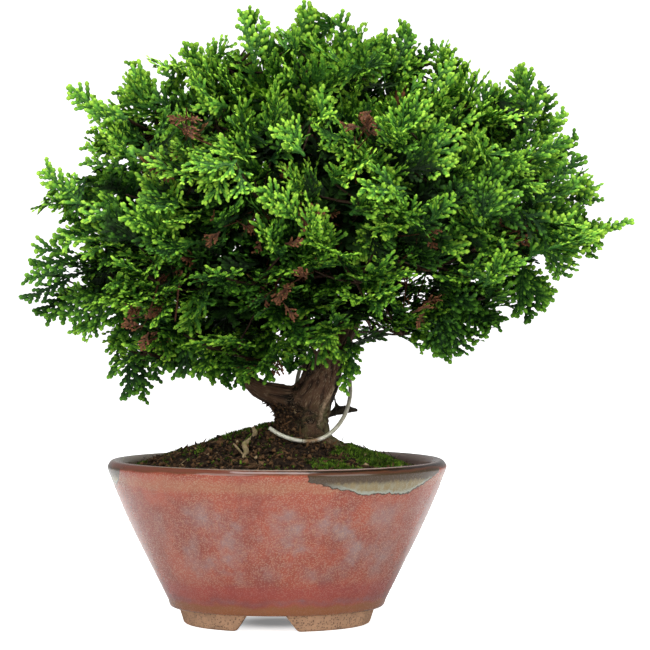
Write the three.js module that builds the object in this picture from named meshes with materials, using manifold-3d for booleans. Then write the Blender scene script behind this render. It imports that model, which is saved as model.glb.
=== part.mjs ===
// A hinoki cypress bonsai in a glazed stoneware pot, with one named mesh for each piece.
// Units are millimetres and +Z is up. X runs to the viewer's right and Y away from the viewer.
// The pieces are modelled round the pot's own axis, and the whole group is moved at the end so that
// the origin lies under the middle of the tree's bounding box, on the surface that the pot stands on.
import * as THREE from "three";
import { mergeVertices } from "three/addons/utils/BufferGeometryUtils.js";
import Module from "manifold-3d";

const wasm = await Module();
wasm.setup();

// ---- Driving dimensions -------------------------------------------------------------------------

const GAP = 0.35; // clearance between pieces that touch

// The pot: a round, conical bowl thrown in one piece, with a foot ring cut into three feet.
const POT_HEIGHT = 72.5;
const RIM_RADIUS = 75;
const WALL = 5.5;
const BODY_BOTTOM = 7.5; // underside of the bowl over the table
const HEEL_RADIUS = 44.9; // the bowl's flat underside
const HEEL_HEIGHT = 8.9; // where the outer wall starts
const HEEL_WALL_RADIUS = 47.3;
const SHOULDER_HEIGHT = 67; // where the outer wall ends, under the rim
const SHOULDER_RADIUS = 74.3;
const WALL_BELLY = 1.1; // how far the wall swells out from a straight cone
const WALL_STEPS = 6;
const LIP_DROP = 3; // height of the rounded lip
const LIP_STEPS = 6;
const FLOOR_THICKNESS = 6;
const FLOOR_CORNER = 2.5; // the rounded corner between the floor and the wall, inside
const FOOT_TOP_RADIUS = 43.7;
const FOOT_BOTTOM_RADIUS = 41.6;
const FOOT_INNER_RADIUS = 33;
const FOOT_CORNER = 1.2; // the worn lower edge of the feet
const FOOT_JOIN = 1; // how far the foot ring runs up into the bowl
const FOOT_COUNT = 3;
const SLOT_WIDTH_TOP = 17; // the gap between two feet, under the bowl
const SLOT_WIDTH_BOTTOM = 27; // and at the table
const SLOT_OVERRUN = 5; // how far the cut runs past the ring
const FIRST_SLOT_TURN = THREE.MathUtils.degToRad(-5.8); // from the front, towards the left
const DRAIN_RADIUS = 7;
const POT_SIDES = 48;

// The drain mesh over the hole, and the wire staple that holds it.
const MESH_SIDE = 27;
const MESH_THICKNESS = 0.9;
const MESH_PITCH = 5;
const MESH_HOLE = 3.4;
const MESH_ROWS = 5;
const STAPLE_RADIUS = 0.5;
const STAPLE_SIDES = 6;
const STAPLE_STEPS = 28;
const STAPLE_BEND = 1.2; // radius of the wire's bends
const STAPLE_LEG = MESH_PITCH; // from the middle to each leg
const STAPLE_TOE = 12; // from the middle to the bent end of each leg

// The soil: a cone of earth, highest beside the trunk.
const SOIL_EDGE = 66.5; // where the soil meets the pot's wall
const SOIL_RISE = 22.5;
const SOIL_PEAK = [-0.5, 2];
const SOIL_SIDES = 36;
const SOIL_RINGS = 6;
const SOIL_LEVELS = [22, 44, 60]; // heights of the rings below the surface
const SOIL_CORNER = 4; // how far the soil stays out of the corner of the pot's floor
const LUMP_HEIGHT = 0.7;
const SMALL_LUMP_HEIGHT = 0.4;

// The training wire.
const WIRE_RADIUS = 0.9;
const WIRE_SIDES = 6;
const WIRE_STEPS = 40;

// ---- Helpers ------------------------------------------------------------------------------------

// The solid inside a closed geometry.
function solidOf(geometry) {
  const bare = geometry.clone();
  bare.deleteAttribute("normal");
  bare.deleteAttribute("uv");
  const merged = mergeVertices(bare, 1e-4);
  return new wasm.Manifold(
    new wasm.Mesh({
      numProp: 3,
      vertProperties: merged.attributes.position.array,
      triVerts: new Uint32Array(merged.index.array),
    }),
  );
}

// The geometry of a solid.
function geometryOf(solid) {
  const mesh = solid.getMesh();
  const geometry = new THREE.BufferGeometry();
  const stride = mesh.numProp;
  const position = new Float32Array(mesh.numVert * 3);
  for (let i = 0; i < mesh.numVert; i++) {
    position.set(mesh.vertProperties.subarray(i * stride, i * stride + 3), i * 3);
  }
  geometry.setAttribute("position", new THREE.BufferAttribute(position, 3));
  geometry.setIndex(new THREE.BufferAttribute(mesh.triVerts, 1));
  geometry.computeVertexNormals();
  return geometry;
}

// The largest body of a solid that a cut may have left in several.
function largestOf(solid) {
  const bodies = solid.decompose();
  return bodies.reduce((best, body) => (body.volume() > best.volume() ? body : best));
}

function joined(solids) {
  return solids.reduce((sum, solid) => sum.add(solid));
}

// A closed profile of [radius, height] points, turned about the Z axis.
function turned(profile, sides) {
  const points = profile.map(([r, z]) => new THREE.Vector2(r, z));
  return new THREE.LatheGeometry([...points, points[0]], sides).rotateX(Math.PI / 2);
}

// A geometry from rows of points, each row a closed ring, with a point or a fan closing both ends.
function skinned(rings) {
  const sides = rings[0].length;
  const position = rings.flat().flatMap((p) => [p.x, p.y, p.z]);
  const centre = (ring) => ring.reduce((sum, p) => sum.add(p), new THREE.Vector3()).divideScalar(sides);
  const first = centre(rings[0]);
  const last = centre(rings[rings.length - 1]);
  position.push(first.x, first.y, first.z, last.x, last.y, last.z);
  const firstAt = rings.length * sides;
  const index = [];
  for (let r = 0; r < rings.length - 1; r++) {
    for (let s = 0; s < sides; s++) {
      const a = r * sides + s;
      const b = r * sides + ((s + 1) % sides);
      index.push(a, b, b + sides, a, b + sides, a + sides);
    }
  }
  for (let s = 0; s < sides; s++) {
    const next = (s + 1) % sides;
    const top = firstAt - sides;
    index.push(firstAt, next, s, firstAt + 1, top + s, top + next);
  }
  const geometry = new THREE.BufferGeometry();
  geometry.setAttribute("position", new THREE.Float32BufferAttribute(position, 3));
  geometry.setIndex(index);
  return geometry;
}

// A tube along a curve whose radius runs through the given values. It is made larger all round by grow.
function taperedTube(curve, radii, sides, steps, grow) {
  const frames = curve.computeFrenetFrames(steps);
  const rings = [];
  for (let i = 0; i <= steps; i++) {
    const u = i / steps;
    const along = u * (radii.length - 1);
    const k = Math.min(Math.floor(along), radii.length - 2);
    const radius = THREE.MathUtils.lerp(radii[k], radii[k + 1], along - k) + grow;
    const middle = curve.getPointAt(u);
    if (i === 0) middle.addScaledVector(frames.tangents[i], -grow);
    if (i === steps) middle.addScaledVector(frames.tangents[i], grow);
    const ring = [];
    for (let s = 0; s < sides; s++) {
      const angle = (s / sides) * 2 * Math.PI;
      ring.push(
        middle
          .clone()
          .addScaledVector(frames.normals[i], Math.cos(angle) * radius)
          .addScaledVector(frames.binormals[i], Math.sin(angle) * radius),
      );
    }
    rings.push(ring);
  }
  return skinned(rings);
}

const curveThrough = (points) =>
  new THREE.CatmullRomCurve3(points.map((p) => new THREE.Vector3(...p)), false, "centripetal");

// A round bar of one radius along a curve.
function bar(curve, radius, sides, steps) {
  const section = new THREE.Shape();
  for (let s = 0; s < sides; s++) {
    const angle = (s / sides) * 2 * Math.PI;
    const x = radius * Math.cos(angle);
    const y = radius * Math.sin(angle);
    if (s === 0) section.moveTo(x, y);
    else section.lineTo(x, y);
  }
  section.closePath();
  return new THREE.ExtrudeGeometry(section, { steps, curveSegments: 1, extrudePath: curve });
}

function block(width, depth, height, x, y, z) {
  return solidOf(new THREE.BoxGeometry(width, depth, height).translate(x, y, z));
}

// ---- Materials ----------------------------------------------------------------------------------

const material = (color, roughness, metalness = 0) =>
  new THREE.MeshStandardMaterial({ color, roughness, metalness });

const glazedStoneware = material(0xb5604f, 0.25);
const earth = material(0x3a281c, 0.95);
const mossGreen = material(0x5c7a24, 0.95);
const bark = material(0x4c3b30, 0.9);
const paleRoot = material(0xa89772, 0.85);
const scaleLeaf = material(0x3f7f2a, 0.6);
const wireMetal = material(0xb9bfae, 0.45, 0.6);
const plasticMesh = material(0x24282a, 0.6);

const bonsai = new THREE.Group();

function add(name, solid, finish) {
  const mesh = new THREE.Mesh(geometryOf(solid), finish);
  mesh.name = name;
  bonsai.add(mesh);
}

// ---- Pot ----------------------------------------------------------------------------------------

const potFloor = BODY_BOTTOM + FLOOR_THICKNESS;

// Radius of the outside wall at a height: a cone that swells a little half way up.
function outerRadius(z) {
  const share = (z - HEEL_HEIGHT) / (SHOULDER_HEIGHT - HEEL_HEIGHT);
  const cone = THREE.MathUtils.lerp(HEEL_WALL_RADIUS, SHOULDER_RADIUS, share);
  return cone + WALL_BELLY * Math.sin(Math.PI * share);
}

// Radius of the inside wall at a height, on the straight facets between the wall's steps.
const wallHeight = (step) => THREE.MathUtils.lerp(HEEL_HEIGHT, SHOULDER_HEIGHT, step / WALL_STEPS);
function innerRadius(z) {
  const along = ((z - HEEL_HEIGHT) / (SHOULDER_HEIGHT - HEEL_HEIGHT)) * WALL_STEPS;
  const step = Math.min(Math.floor(along), WALL_STEPS - 1);
  const [below, above] = [wallHeight(step), wallHeight(step + 1)];
  return THREE.MathUtils.lerp(outerRadius(below), outerRadius(above), along - step) - WALL;
}

// The rounded lip, from the outside over the top to the inside.
const lip = Array.from({ length: LIP_STEPS + 1 }, (_, i) => {
  const angle = (i / LIP_STEPS) * Math.PI;
  const radius = RIM_RADIUS - (WALL / 2) * (1 - Math.cos(angle));
  return [radius, POT_HEIGHT - LIP_DROP * (1 - Math.sin(angle))];
});

const outerWall = Array.from({ length: WALL_STEPS + 1 }, (_, step) => {
  const z = wallHeight(step);
  return [outerRadius(z), z];
});
const innerWall = outerWall
  .slice(1, -1)
  .reverse()
  .map(([radius, z]) => [radius - WALL, z]);

const bowl = solidOf(
  turned(
    [
      [DRAIN_RADIUS, BODY_BOTTOM],
      [HEEL_RADIUS, BODY_BOTTOM],
      ...outerWall,
      ...lip,
      ...innerWall,
      [innerRadius(potFloor) - FLOOR_CORNER, potFloor],
      [DRAIN_RADIUS, potFloor],
    ],
    POT_SIDES,
  ),
);

const footRing = solidOf(
  turned(
    [
      [FOOT_INNER_RADIUS, 0],
      [FOOT_BOTTOM_RADIUS - FOOT_CORNER, 0],
      [FOOT_BOTTOM_RADIUS, FOOT_CORNER],
      [FOOT_TOP_RADIUS, BODY_BOTTOM + FOOT_JOIN],
      [FOOT_INNER_RADIUS, BODY_BOTTOM + FOOT_JOIN],
    ],
    POT_SIDES,
  ),
);

// The gap between two feet: a trapezium that runs through the ring, wider at the table.
function footSlot(turn) {
  const outline = new THREE.Shape();
  outline.moveTo(-SLOT_WIDTH_BOTTOM / 2, -SLOT_OVERRUN);
  outline.lineTo(SLOT_WIDTH_BOTTOM / 2, -SLOT_OVERRUN);
  outline.lineTo(SLOT_WIDTH_BOTTOM / 2, 0);
  outline.lineTo(SLOT_WIDTH_TOP / 2, BODY_BOTTOM);
  outline.lineTo(-SLOT_WIDTH_TOP / 2, BODY_BOTTOM);
  outline.lineTo(-SLOT_WIDTH_BOTTOM / 2, 0);
  outline.closePath();
  const reach = FOOT_TOP_RADIUS + SLOT_OVERRUN;
  const slot = new THREE.ExtrudeGeometry(outline, { depth: reach, steps: 1, bevelEnabled: false });
  slot.rotateX(Math.PI / 2); // the outline's height now runs up, and its depth runs towards the front
  return solidOf(slot.rotateZ(turn));
}

let feet = footRing;
for (let i = 0; i < FOOT_COUNT; i++) {
  feet = feet.subtract(footSlot(FIRST_SLOT_TURN + (i * 2 * Math.PI) / FOOT_COUNT));
}
add("pot", bowl.add(feet), glazedStoneware);

// ---- Drain mesh and its staple ------------------------------------------------------------------

const meshBottom = potFloor + GAP;
let drainMesh = block(MESH_SIDE, MESH_SIDE, MESH_THICKNESS, 0, 0, meshBottom + MESH_THICKNESS / 2);
const meshPlace = (row) => (row - (MESH_ROWS - 1) / 2) * MESH_PITCH;
for (let i = 0; i < MESH_ROWS; i++) {
  for (let j = 0; j < MESH_ROWS; j++) {
    const hole = block(MESH_HOLE, MESH_HOLE, 4 * MESH_THICKNESS, meshPlace(i), meshPlace(j), meshBottom);
    drainMesh = drainMesh.subtract(hole);
  }
}
add("drain_mesh", drainMesh, plasticMesh);

const stapleTop = meshBottom + MESH_THICKNESS + GAP + STAPLE_RADIUS;
const stapleToe = BODY_BOTTOM - GAP - STAPLE_RADIUS;
const stapleSide = (side) => [
  [side * (STAPLE_LEG - STAPLE_BEND), 0, stapleTop],
  [side * STAPLE_LEG, 0, stapleTop - STAPLE_BEND],
  [side * STAPLE_LEG, 0, stapleToe + STAPLE_BEND],
  [side * (STAPLE_LEG + STAPLE_BEND), 0, stapleToe],
  [side * STAPLE_TOE, 0, stapleToe],
];
const staplePath = curveThrough([...stapleSide(-1).reverse(), ...stapleSide(1)]);
const staple = bar(staplePath, STAPLE_RADIUS, STAPLE_SIDES, STAPLE_STEPS);
add("mesh_staple", solidOf(staple), wireMetal);

// ---- Trunk and branches -------------------------------------------------------------------------

// The trunk leans to the right, then straightens. Each row is [x, y, z, radius].
const TRUNK = [
  [11, 0, 66, 13.5],
  [12, 0, 79, 13],
  [11.5, 0, 88, 11.6],
  [12.8, 0, 96, 10],
  [17.2, 0, 104, 6.4],
  [21.2, 0, 113, 5],
  [26.5, 1, 123, 4.8],
  [32.5, 2, 133, 4.5],
  [35, 2, 145, 4.4],
  [32, 1, 160, 4],
  [27, 0, 176, 3.7],
  [23.5, 0, 194, 3.3],
  [22, 0, 214, 2.8],
  [20, 0, 234, 2.3],
  [19, 0, 256, 1.6],
];

// The heavy limb that forks off low down, to the left.
const LIMB = [
  [13, 0, 94, 8],
  [6, 0, 98.5, 6.8],
  [-1.2, 0.5, 100.6, 5.5],
  [-8.8, 2, 103.8, 4],
  [-14.5, 4, 108.5, 3.6],
  [-23, 5, 117, 3.3],
  [-34, 5, 128, 3],
  [-48, 4, 138, 2.6],
  [-62, 3, 150, 2.1],
];

// Roots that spread from the foot of the trunk into the soil, and broken stubs on its right side.
const SPURS = [
  { path: [[8, -4, 84], [-2, -9, 79], [-12, -13, 70]], radii: [6.5, 4.4, 2.4] },
  { path: [[17, -5, 82], [27, -9, 77], [36, -12, 69]], radii: [6, 4, 2.2] },
  { path: [[17, 5, 82], [28, 11, 76], [36, 17, 66]], radii: [6, 4, 2.2] },
  { path: [[8, 5, 84], [-2, 13, 79], [-9, 20, 70]], radii: [6, 4.2, 2.2] },
  { path: [[12, -6, 84], [11, -16, 77], [10, -24, 67]], radii: [6, 4, 2.2] },
  { path: [[20, 6, 90], [25, 9, 92.8], [32, 11, 94.2], [36.5, 11, 93.8]], radii: [2, 2.2, 2.5, 1] },
  { path: [[26.5, 9.5, 93.5], [26, 10, 96.5], [25.5, 10.5, 99.5]], radii: [1.4, 1.2, 0.6] },
  { path: [[18, 3, 94], [23.5, 6, 99.5], [27, 8.5, 106]], radii: [3, 2.2, 1.8] },
  { path: [[11, 2, 98], [12.5, 5, 107], [12, 6, 118], [9, 6, 131]], radii: [4, 2.2, 1.9, 1.5] },
];

// The foliage pads. stem and leave say where the branch that carries the pad starts, as a share of the
// stem's length. at is the pad's middle, and size its half width, half depth and half height.
const PADS = [
  { name: "low_left_tip", stem: "limb", leave: 0.8, at: [-62, -14, 119], size: [18, 24, 18] },
  { name: "low_left", stem: "limb", leave: 0.62, at: [-25, -30, 121], size: [33, 27, 15.5] },
  { name: "low_front", stem: "trunk", leave: 0.42, at: [15, -40, 121], size: [24, 23, 17.5] },
  { name: "low_right", stem: "trunk", leave: 0.44, at: [62, -20, 129], size: [32, 28, 15.5] },
  { name: "low_right_tip", stem: "trunk", leave: 0.5, at: [97, 2, 144], size: [30, 32, 15.5] },
  { name: "low_back_left", stem: "limb", leave: 0.72, at: [-32, 42, 126], size: [33, 28, 15.5] },
  { name: "low_back_right", stem: "trunk", leave: 0.46, at: [44, 46, 129], size: [36, 28, 15.5] },
  { name: "left_tip", stem: "limb", leave: 1, at: [-84, -4, 146], size: [27, 38, 17.5] },
  { name: "left_front", stem: "limb", leave: 0.85, at: [-52, -48, 149], size: [32, 27, 16.5] },
  { name: "front_left", stem: "trunk", leave: 0.5, at: [-14, -62, 152], size: [32, 26, 16.5] },
  { name: "front_right", stem: "trunk", leave: 0.5, at: [36, -64, 152], size: [32, 26, 15.5] },
  { name: "right_front", stem: "trunk", leave: 0.52, at: [78, -46, 159], size: [32, 28, 15.5] },
  { name: "right_tip", stem: "trunk", leave: 0.56, at: [121, -8, 168], size: [32, 33, 16.5] },
  { name: "back_right", stem: "trunk", leave: 0.54, at: [86, 46, 159], size: [34, 30, 16.5] },
  { name: "back", stem: "trunk", leave: 0.52, at: [26, 72, 156], size: [35, 24, 16.5] },
  { name: "back_left", stem: "limb", leave: 0.9, at: [-42, 56, 155], size: [36, 28, 16.5] },
  { name: "mid_left", stem: "trunk", leave: 0.56, at: [-80, 2, 182], size: [29, 36, 17.5] },
  { name: "mid_left_front", stem: "trunk", leave: 0.6, at: [-50, -48, 186], size: [34, 27, 16.5] },
  { name: "mid_front_left", stem: "trunk", leave: 0.6, at: [-9, -70, 187], size: [32, 24, 16.5] },
  { name: "mid_front_right", stem: "trunk", leave: 0.6, at: [38, -72, 186], size: [33, 23, 16.5] },
  { name: "mid_right_front", stem: "trunk", leave: 0.62, at: [82, -50, 191], size: [33, 27, 16.5] },
  { name: "mid_right", stem: "trunk", leave: 0.65, at: [119, 0, 199], size: [26, 36, 16.5] },
  { name: "mid_back_right", stem: "trunk", leave: 0.65, at: [84, 50, 191], size: [34, 29, 16.5] },
  { name: "mid_back", stem: "trunk", leave: 0.64, at: [26, 74, 188], size: [36, 24, 16.5] },
  { name: "mid_back_left", stem: "trunk", leave: 0.63, at: [-42, 54, 187], size: [34, 29, 16.5] },
  { name: "high_left", stem: "trunk", leave: 0.7, at: [-64, -4, 218], size: [30, 34, 17.5] },
  { name: "high_left_front", stem: "trunk", leave: 0.74, at: [-30, -46, 220], size: [30, 25, 15.5] },
  { name: "high_front", stem: "trunk", leave: 0.76, at: [14, -60, 220], size: [30, 23, 15.5] },
  { name: "high_right_front", stem: "trunk", leave: 0.76, at: [60, -44, 222], size: [31, 25, 15.5] },
  { name: "high_right", stem: "trunk", leave: 0.75, at: [100, 0, 228], size: [29, 34, 17.5] },
  { name: "high_back_right", stem: "trunk", leave: 0.77, at: [64, 46, 221], size: [32, 27, 16.5] },
  { name: "high_back", stem: "trunk", leave: 0.78, at: [18, 58, 221], size: [28, 24, 16.5] },
  { name: "high_back_left", stem: "trunk", leave: 0.76, at: [-32, 44, 219], size: [32, 28, 16.5] },
  { name: "top_left", stem: "trunk", leave: 0.87, at: [-28, -6, 246], size: [31, 31, 16.5] },
  { name: "top_front", stem: "trunk", leave: 0.89, at: [16, -31, 248], size: [28, 23, 15.5] },
  { name: "top_right", stem: "trunk", leave: 0.9, at: [58, -2, 250], size: [29, 32, 15.5] },
  { name: "top_back", stem: "trunk", leave: 0.89, at: [18, 31, 248], size: [29, 24, 15.5] },
  { name: "apex", stem: "trunk", leave: 0.985, at: [20, 0, 265.5], size: [27, 25, 10.5] },
];

const stemCurve = (rows) => curveThrough(rows.map(([x, y, z]) => [x, y, z]));
const stems = { trunk: stemCurve(TRUNK), limb: stemCurve(LIMB) };
const stemRadii = (rows) => rows.map((row) => row[3]);

const BRANCH_RADII = [2.3, 1.7, 1.1];
const BRANCH_REACH = 0.8; // share of the way to the pad's middle
const BRANCH_ENTRY = 0.25; // how far under the pad's middle it aims, as a share of the half height
const BRANCH_BEND_AT = 0.55; // share of the way to the middle of the bend
const BRANCH_RISE = 0.12; // how early a climbing branch climbs
const BRANCH_SAG = 2;

// The branch that carries a pad: it leaves its stem, sweeps out low and ends inside the pad.
function branchTo(pad) {
  const start = stems[pad.stem].getPointAt(pad.leave);
  const heart = new THREE.Vector3(...pad.at);
  heart.z -= pad.size[2] * BRANCH_ENTRY;
  const end = start.clone().lerp(heart, BRANCH_REACH);
  const bend = start.clone().lerp(end, BRANCH_BEND_AT);
  bend.z += BRANCH_RISE * (heart.z - start.z) - BRANCH_SAG;
  return new THREE.QuadraticBezierCurve3(start, bend, end);
}

// How finely each kind of limb is divided.
const STEM_FACETS = { sides: 9, steps: 22 };
const LIMB_FACETS = { sides: 8, steps: 12 };
const SPUR_FACETS = { sides: 6, steps: 4 };
const BRANCH_FACETS = { sides: 5, steps: 2 };

function limbSolid(curve, radii, { sides, steps }, grow) {
  return solidOf(taperedTube(curve, radii, sides, steps, grow));
}

function trunkSolid(grow) {
  return joined([
    limbSolid(stems.trunk, stemRadii(TRUNK), STEM_FACETS, grow),
    limbSolid(stems.limb, stemRadii(LIMB), LIMB_FACETS, grow),
    ...SPURS.map(({ path, radii }) => limbSolid(curveThrough(path), radii, SPUR_FACETS, grow)),
    ...PADS.map((pad) => limbSolid(branchTo(pad), BRANCH_RADII, BRANCH_FACETS, grow)),
  ]);
}

const trunk = trunkSolid(0);
const trunkRoom = trunkSolid(GAP);
add("trunk", trunk, bark);

// ---- Training wire ------------------------------------------------------------------------------

// One length of wire: a cut end on the left, round the front of the trunk's foot, up on the right,
// over behind the trunk and down to its other cut end behind the limb.
const WIRE_ROUTE = [
  [-3, -17, 87.2],
  [1.5, -19.5, 84.6],
  [7, -21, 82.6],
  [13, -20.5, 81.6],
  [19, -18.5, 82.4],
  [25, -14, 86],
  [29.5, -8, 91.5],
  [32, -1, 98],
  [32.6, 6, 105],
  [31, 12, 112],
  [26, 16, 117.5],
  [19, 16.5, 119.5],
  [12.5, 15, 116.5],
  [9.8, 13.6, 111],
  [8.6, 12.8, 105.5],
];
const wireCurve = curveThrough(WIRE_ROUTE);
add("training_wire", solidOf(bar(wireCurve, WIRE_RADIUS, WIRE_SIDES, WIRE_STEPS)), wireMetal);
const wireRoom = solidOf(bar(wireCurve, WIRE_RADIUS + GAP, WIRE_SIDES, WIRE_STEPS));

// ---- Soil, surface root and moss ----------------------------------------------------------------

// Height of the soil's surface at a place in the pot.
function soilHeight(x, y) {
  const away = Math.hypot(x - SOIL_PEAK[0], y - SOIL_PEAK[1]) / innerRadius(SOIL_EDGE);
  const lumps = LUMP_HEIGHT * Math.sin(x * 0.21 + 1.3) * Math.cos(y * 0.19);
  const smallLumps = SMALL_LUMP_HEIGHT * Math.sin(x * 0.4 - y * 0.33);
  const fade = Math.min(1, 3 * (1 - away)); // the surface is level where it meets the wall
  return SOIL_EDGE + SOIL_RISE * Math.max(0, 1 - away) + (lumps + smallLumps) * fade;
}

function soilBody() {
  const ring = (radius, height) =>
    Array.from({ length: SOIL_SIDES }, (_, s) => {
      const angle = (s / SOIL_SIDES) * 2 * Math.PI;
      const x = radius * Math.cos(angle);
      const y = radius * Math.sin(angle);
      return new THREE.Vector3(x, y, height === undefined ? soilHeight(x, y) : height);
    });
  const wallGap = GAP + 0.2; // the pot and the soil have facets of different widths
  const bottom = potFloor + GAP;
  const rings = [ring(innerRadius(potFloor) - SOIL_CORNER, bottom)];
  for (const z of SOIL_LEVELS) rings.push(ring(innerRadius(z) - wallGap, z));
  const edge = innerRadius(SOIL_EDGE - 1) - wallGap;
  for (let i = SOIL_RINGS; i >= 1; i--) rings.push(ring((edge * i) / SOIL_RINGS));
  return solidOf(skinned(rings));
}

// A pale dead root that lies in the slope to the left of the trunk.
const SURFACE_ROOT = [
  [-10.5, -8.5, 86],
  [-11, -12.5, 84.3],
  [-13, -21, 80.6],
  [-14.8, -30.5, 77.2],
  [-14, -36, 75.5],
];
const ROOT_RADII = [0.8, 1.2, 1.1, 1.4, 0.8];
const ROOT_FACETS = { sides: 7, steps: 8 };
const rootTube = (grow) => limbSolid(curveThrough(SURFACE_ROOT), ROOT_RADII, ROOT_FACETS, grow);
add("surface_root", rootTube(0), paleRoot);

const soilWhole = soilBody();
const meshRoomTop = stapleTop + STAPLE_RADIUS + 3 * GAP;
const meshRoomSide = MESH_SIDE + 2 * GAP;
const meshRoomMiddle = (meshRoomTop + potFloor) / 2;
const meshRoom = block(meshRoomSide, meshRoomSide, meshRoomTop - potFloor, 0, 0, meshRoomMiddle);
const soil = soilWhole
  .subtract(trunkRoom)
  .subtract(rootTube(GAP))
  .subtract(wireRoom)
  .subtract(meshRoom);
add("soil", largestOf(soil), earth);

// Moss cushions. Each is a low dome on the slope, with a wavy edge.
const MOSS = [
  { name: "moss_right", at: [43, -14], size: [17, 20], thick: 1.5 },
  { name: "moss_right_back", at: [40, 27], size: [15, 13], thick: 1.4 },
  { name: "moss_ridge", at: [-15, 8], size: [15, 12], thick: 1.5 },
  { name: "moss_left_back", at: [-36, 36], size: [17, 13], thick: 1.3 },
  { name: "moss_back", at: [6, 47], size: [20, 11], thick: 1.3 },
  { name: "moss_front", at: [26, -44], size: [13, 9], thick: 1.2 },
];
const MOSS_SIDES = 13;
const MOSS_DEPTH = 3; // how far a dome starts below the soil's surface, before the soil is cut out of it
// The dome's rings: share of the cushion's outline, and height as a share of its thickness.
const MOSS_RINGS = [
  [1, 0.3],
  [0.8, 0.8],
  [0.4, 1.1],
];
const soilRoom = soilWhole.add(soilWhole.translate(0, 0, GAP));
function mossCushion({ at, size, thick }) {
  const ring = (share, rise) =>
    Array.from({ length: MOSS_SIDES }, (_, s) => {
      const angle = (s / MOSS_SIDES) * 2 * Math.PI;
      const wave = share * (1 + 0.13 * Math.sin(3 * angle + at[0]) + 0.07 * Math.sin(5 * angle + at[1]));
      const x = at[0] + size[0] * wave * Math.cos(angle);
      const y = at[1] + size[1] * wave * Math.sin(angle);
      return new THREE.Vector3(x, y, soilHeight(x, y) + rise);
    });
  const under = [ring(0.5, -MOSS_DEPTH), ring(1, -MOSS_DEPTH)];
  const dome = skinned([...under, ...MOSS_RINGS.map(([share, rise]) => ring(share, rise * thick))]);
  return largestOf(solidOf(dome).subtract(soilRoom).subtract(trunkRoom).subtract(wireRoom));
}
for (const cushion of MOSS) add(cushion.name, mossCushion(cushion), mossGreen);

// ---- Foliage pads -------------------------------------------------------------------------------

const PAD_SIDES = 12;
const PAD_ROWS = 6;
const FLATTEN_BELOW = 0.75; // a pad is flatter underneath than on top
const LOBE = 0.09; // how far the outline of a pad swells and shrinks, as a share of its radius
const SHRINK = 0.5; // a pad's mean outline lies this share of a lobe inside its size

function padDome({ at, size }) {
  const dome = new THREE.SphereGeometry(1, PAD_SIDES, PAD_ROWS).rotateX(Math.PI / 2);
  const position = dome.attributes.position;
  for (let i = 0; i < position.count; i++) {
    const [x, y, z] = [position.getX(i), position.getY(i), position.getZ(i)];
    const angle = Math.atan2(y, x);
    const wave = Math.sin(4 * angle + at[0]) + 0.5 * Math.sin(3 * angle + at[1]);
    const lobes = 1 + LOBE * (wave - SHRINK);
    const swell = THREE.MathUtils.lerp(1, lobes, Math.hypot(x, y));
    position.setXYZ(
      i,
      at[0] + x * size[0] * swell,
      at[1] + y * size[1] * swell,
      at[2] + z * size[2] * (z < 0 ? FLATTEN_BELOW : 1),
    );
  }
  return solidOf(dome);
}

const FAR_APART = 0.9; // pads that together reach over less of the way between them don't meet

// How far a pad reaches from its middle in a direction.
function reachOf(pad, direction) {
  return 1 / direction.clone().divide(new THREE.Vector3(...pad.size)).length();
}

// Two pads that would run into each other meet at a plane between them, each keeping its own side.
function trimmedBy(solid, pad, other) {
  const centre = new THREE.Vector3(...pad.at);
  const away = new THREE.Vector3(...other.at).sub(centre);
  const distance = away.length();
  const direction = away.clone().normalize();
  const mine = reachOf(pad, direction);
  const theirs = reachOf(other, direction);
  if (mine + theirs < distance * FAR_APART) return solid;
  const normal = direction.negate();
  const share = (distance * mine) / (mine + theirs);
  const plane = normal.dot(centre) - share + GAP / 2;
  return solid.trimByPlane(normal.toArray(), plane);
}

const keptClear = trunkRoom.add(wireRoom);
for (const pad of PADS) {
  let solid = padDome(pad);
  for (const other of PADS) {
    if (other !== pad) solid = trimmedBy(solid, pad, other);
  }
  add(`foliage_${pad.name}`, largestOf(solid.subtract(keptClear)), scaleLeaf);
}

// ---- Origin -------------------------------------------------------------------------------------

const bounds = new THREE.Box3().setFromObject(bonsai);
const middle = bounds.getCenter(new THREE.Vector3());
bonsai.position.set(-middle.x, -middle.y, -bounds.min.z);

export default bonsai;
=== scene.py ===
# %% [markdown]
# # A hinoki cypress bonsai in its pot
#
# This notebook dresses a finished, measured model of a small tree. The model arrives as a fixed
# frame: plain closed solids for the pot, the soil, the trunk, the wire and each pad of foliage. Here
# every one of them gets the surface that the real thing has, without its place or size changing.
#
# The tree is worked out in millimetres, measured from the pot's own axis and the table top, because
# those are the numbers a potter or a gardener would use. One helper turns them into metres in the
# frame's coordinates when a mesh is made.

# %% Load the frame
import math

import bmesh
import bpy
import numpy as np
from mathutils import Matrix, Vector
from mathutils.kdtree import KDTree


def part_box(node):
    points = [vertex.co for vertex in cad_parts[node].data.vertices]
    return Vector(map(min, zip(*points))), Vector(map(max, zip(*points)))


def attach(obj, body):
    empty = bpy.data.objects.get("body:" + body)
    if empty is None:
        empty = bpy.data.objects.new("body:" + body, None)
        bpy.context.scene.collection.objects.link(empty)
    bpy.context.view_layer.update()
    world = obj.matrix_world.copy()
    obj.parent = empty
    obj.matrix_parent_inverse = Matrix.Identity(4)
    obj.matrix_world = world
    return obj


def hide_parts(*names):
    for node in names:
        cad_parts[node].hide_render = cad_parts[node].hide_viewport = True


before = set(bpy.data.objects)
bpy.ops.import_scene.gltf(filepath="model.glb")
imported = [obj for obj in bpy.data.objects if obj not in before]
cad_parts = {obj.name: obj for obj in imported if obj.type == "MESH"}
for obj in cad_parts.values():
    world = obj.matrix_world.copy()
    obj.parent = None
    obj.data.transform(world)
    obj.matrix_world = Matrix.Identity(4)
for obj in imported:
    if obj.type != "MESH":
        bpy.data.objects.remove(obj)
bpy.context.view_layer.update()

MM = 0.001
pot_low, pot_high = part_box("pot")
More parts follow.
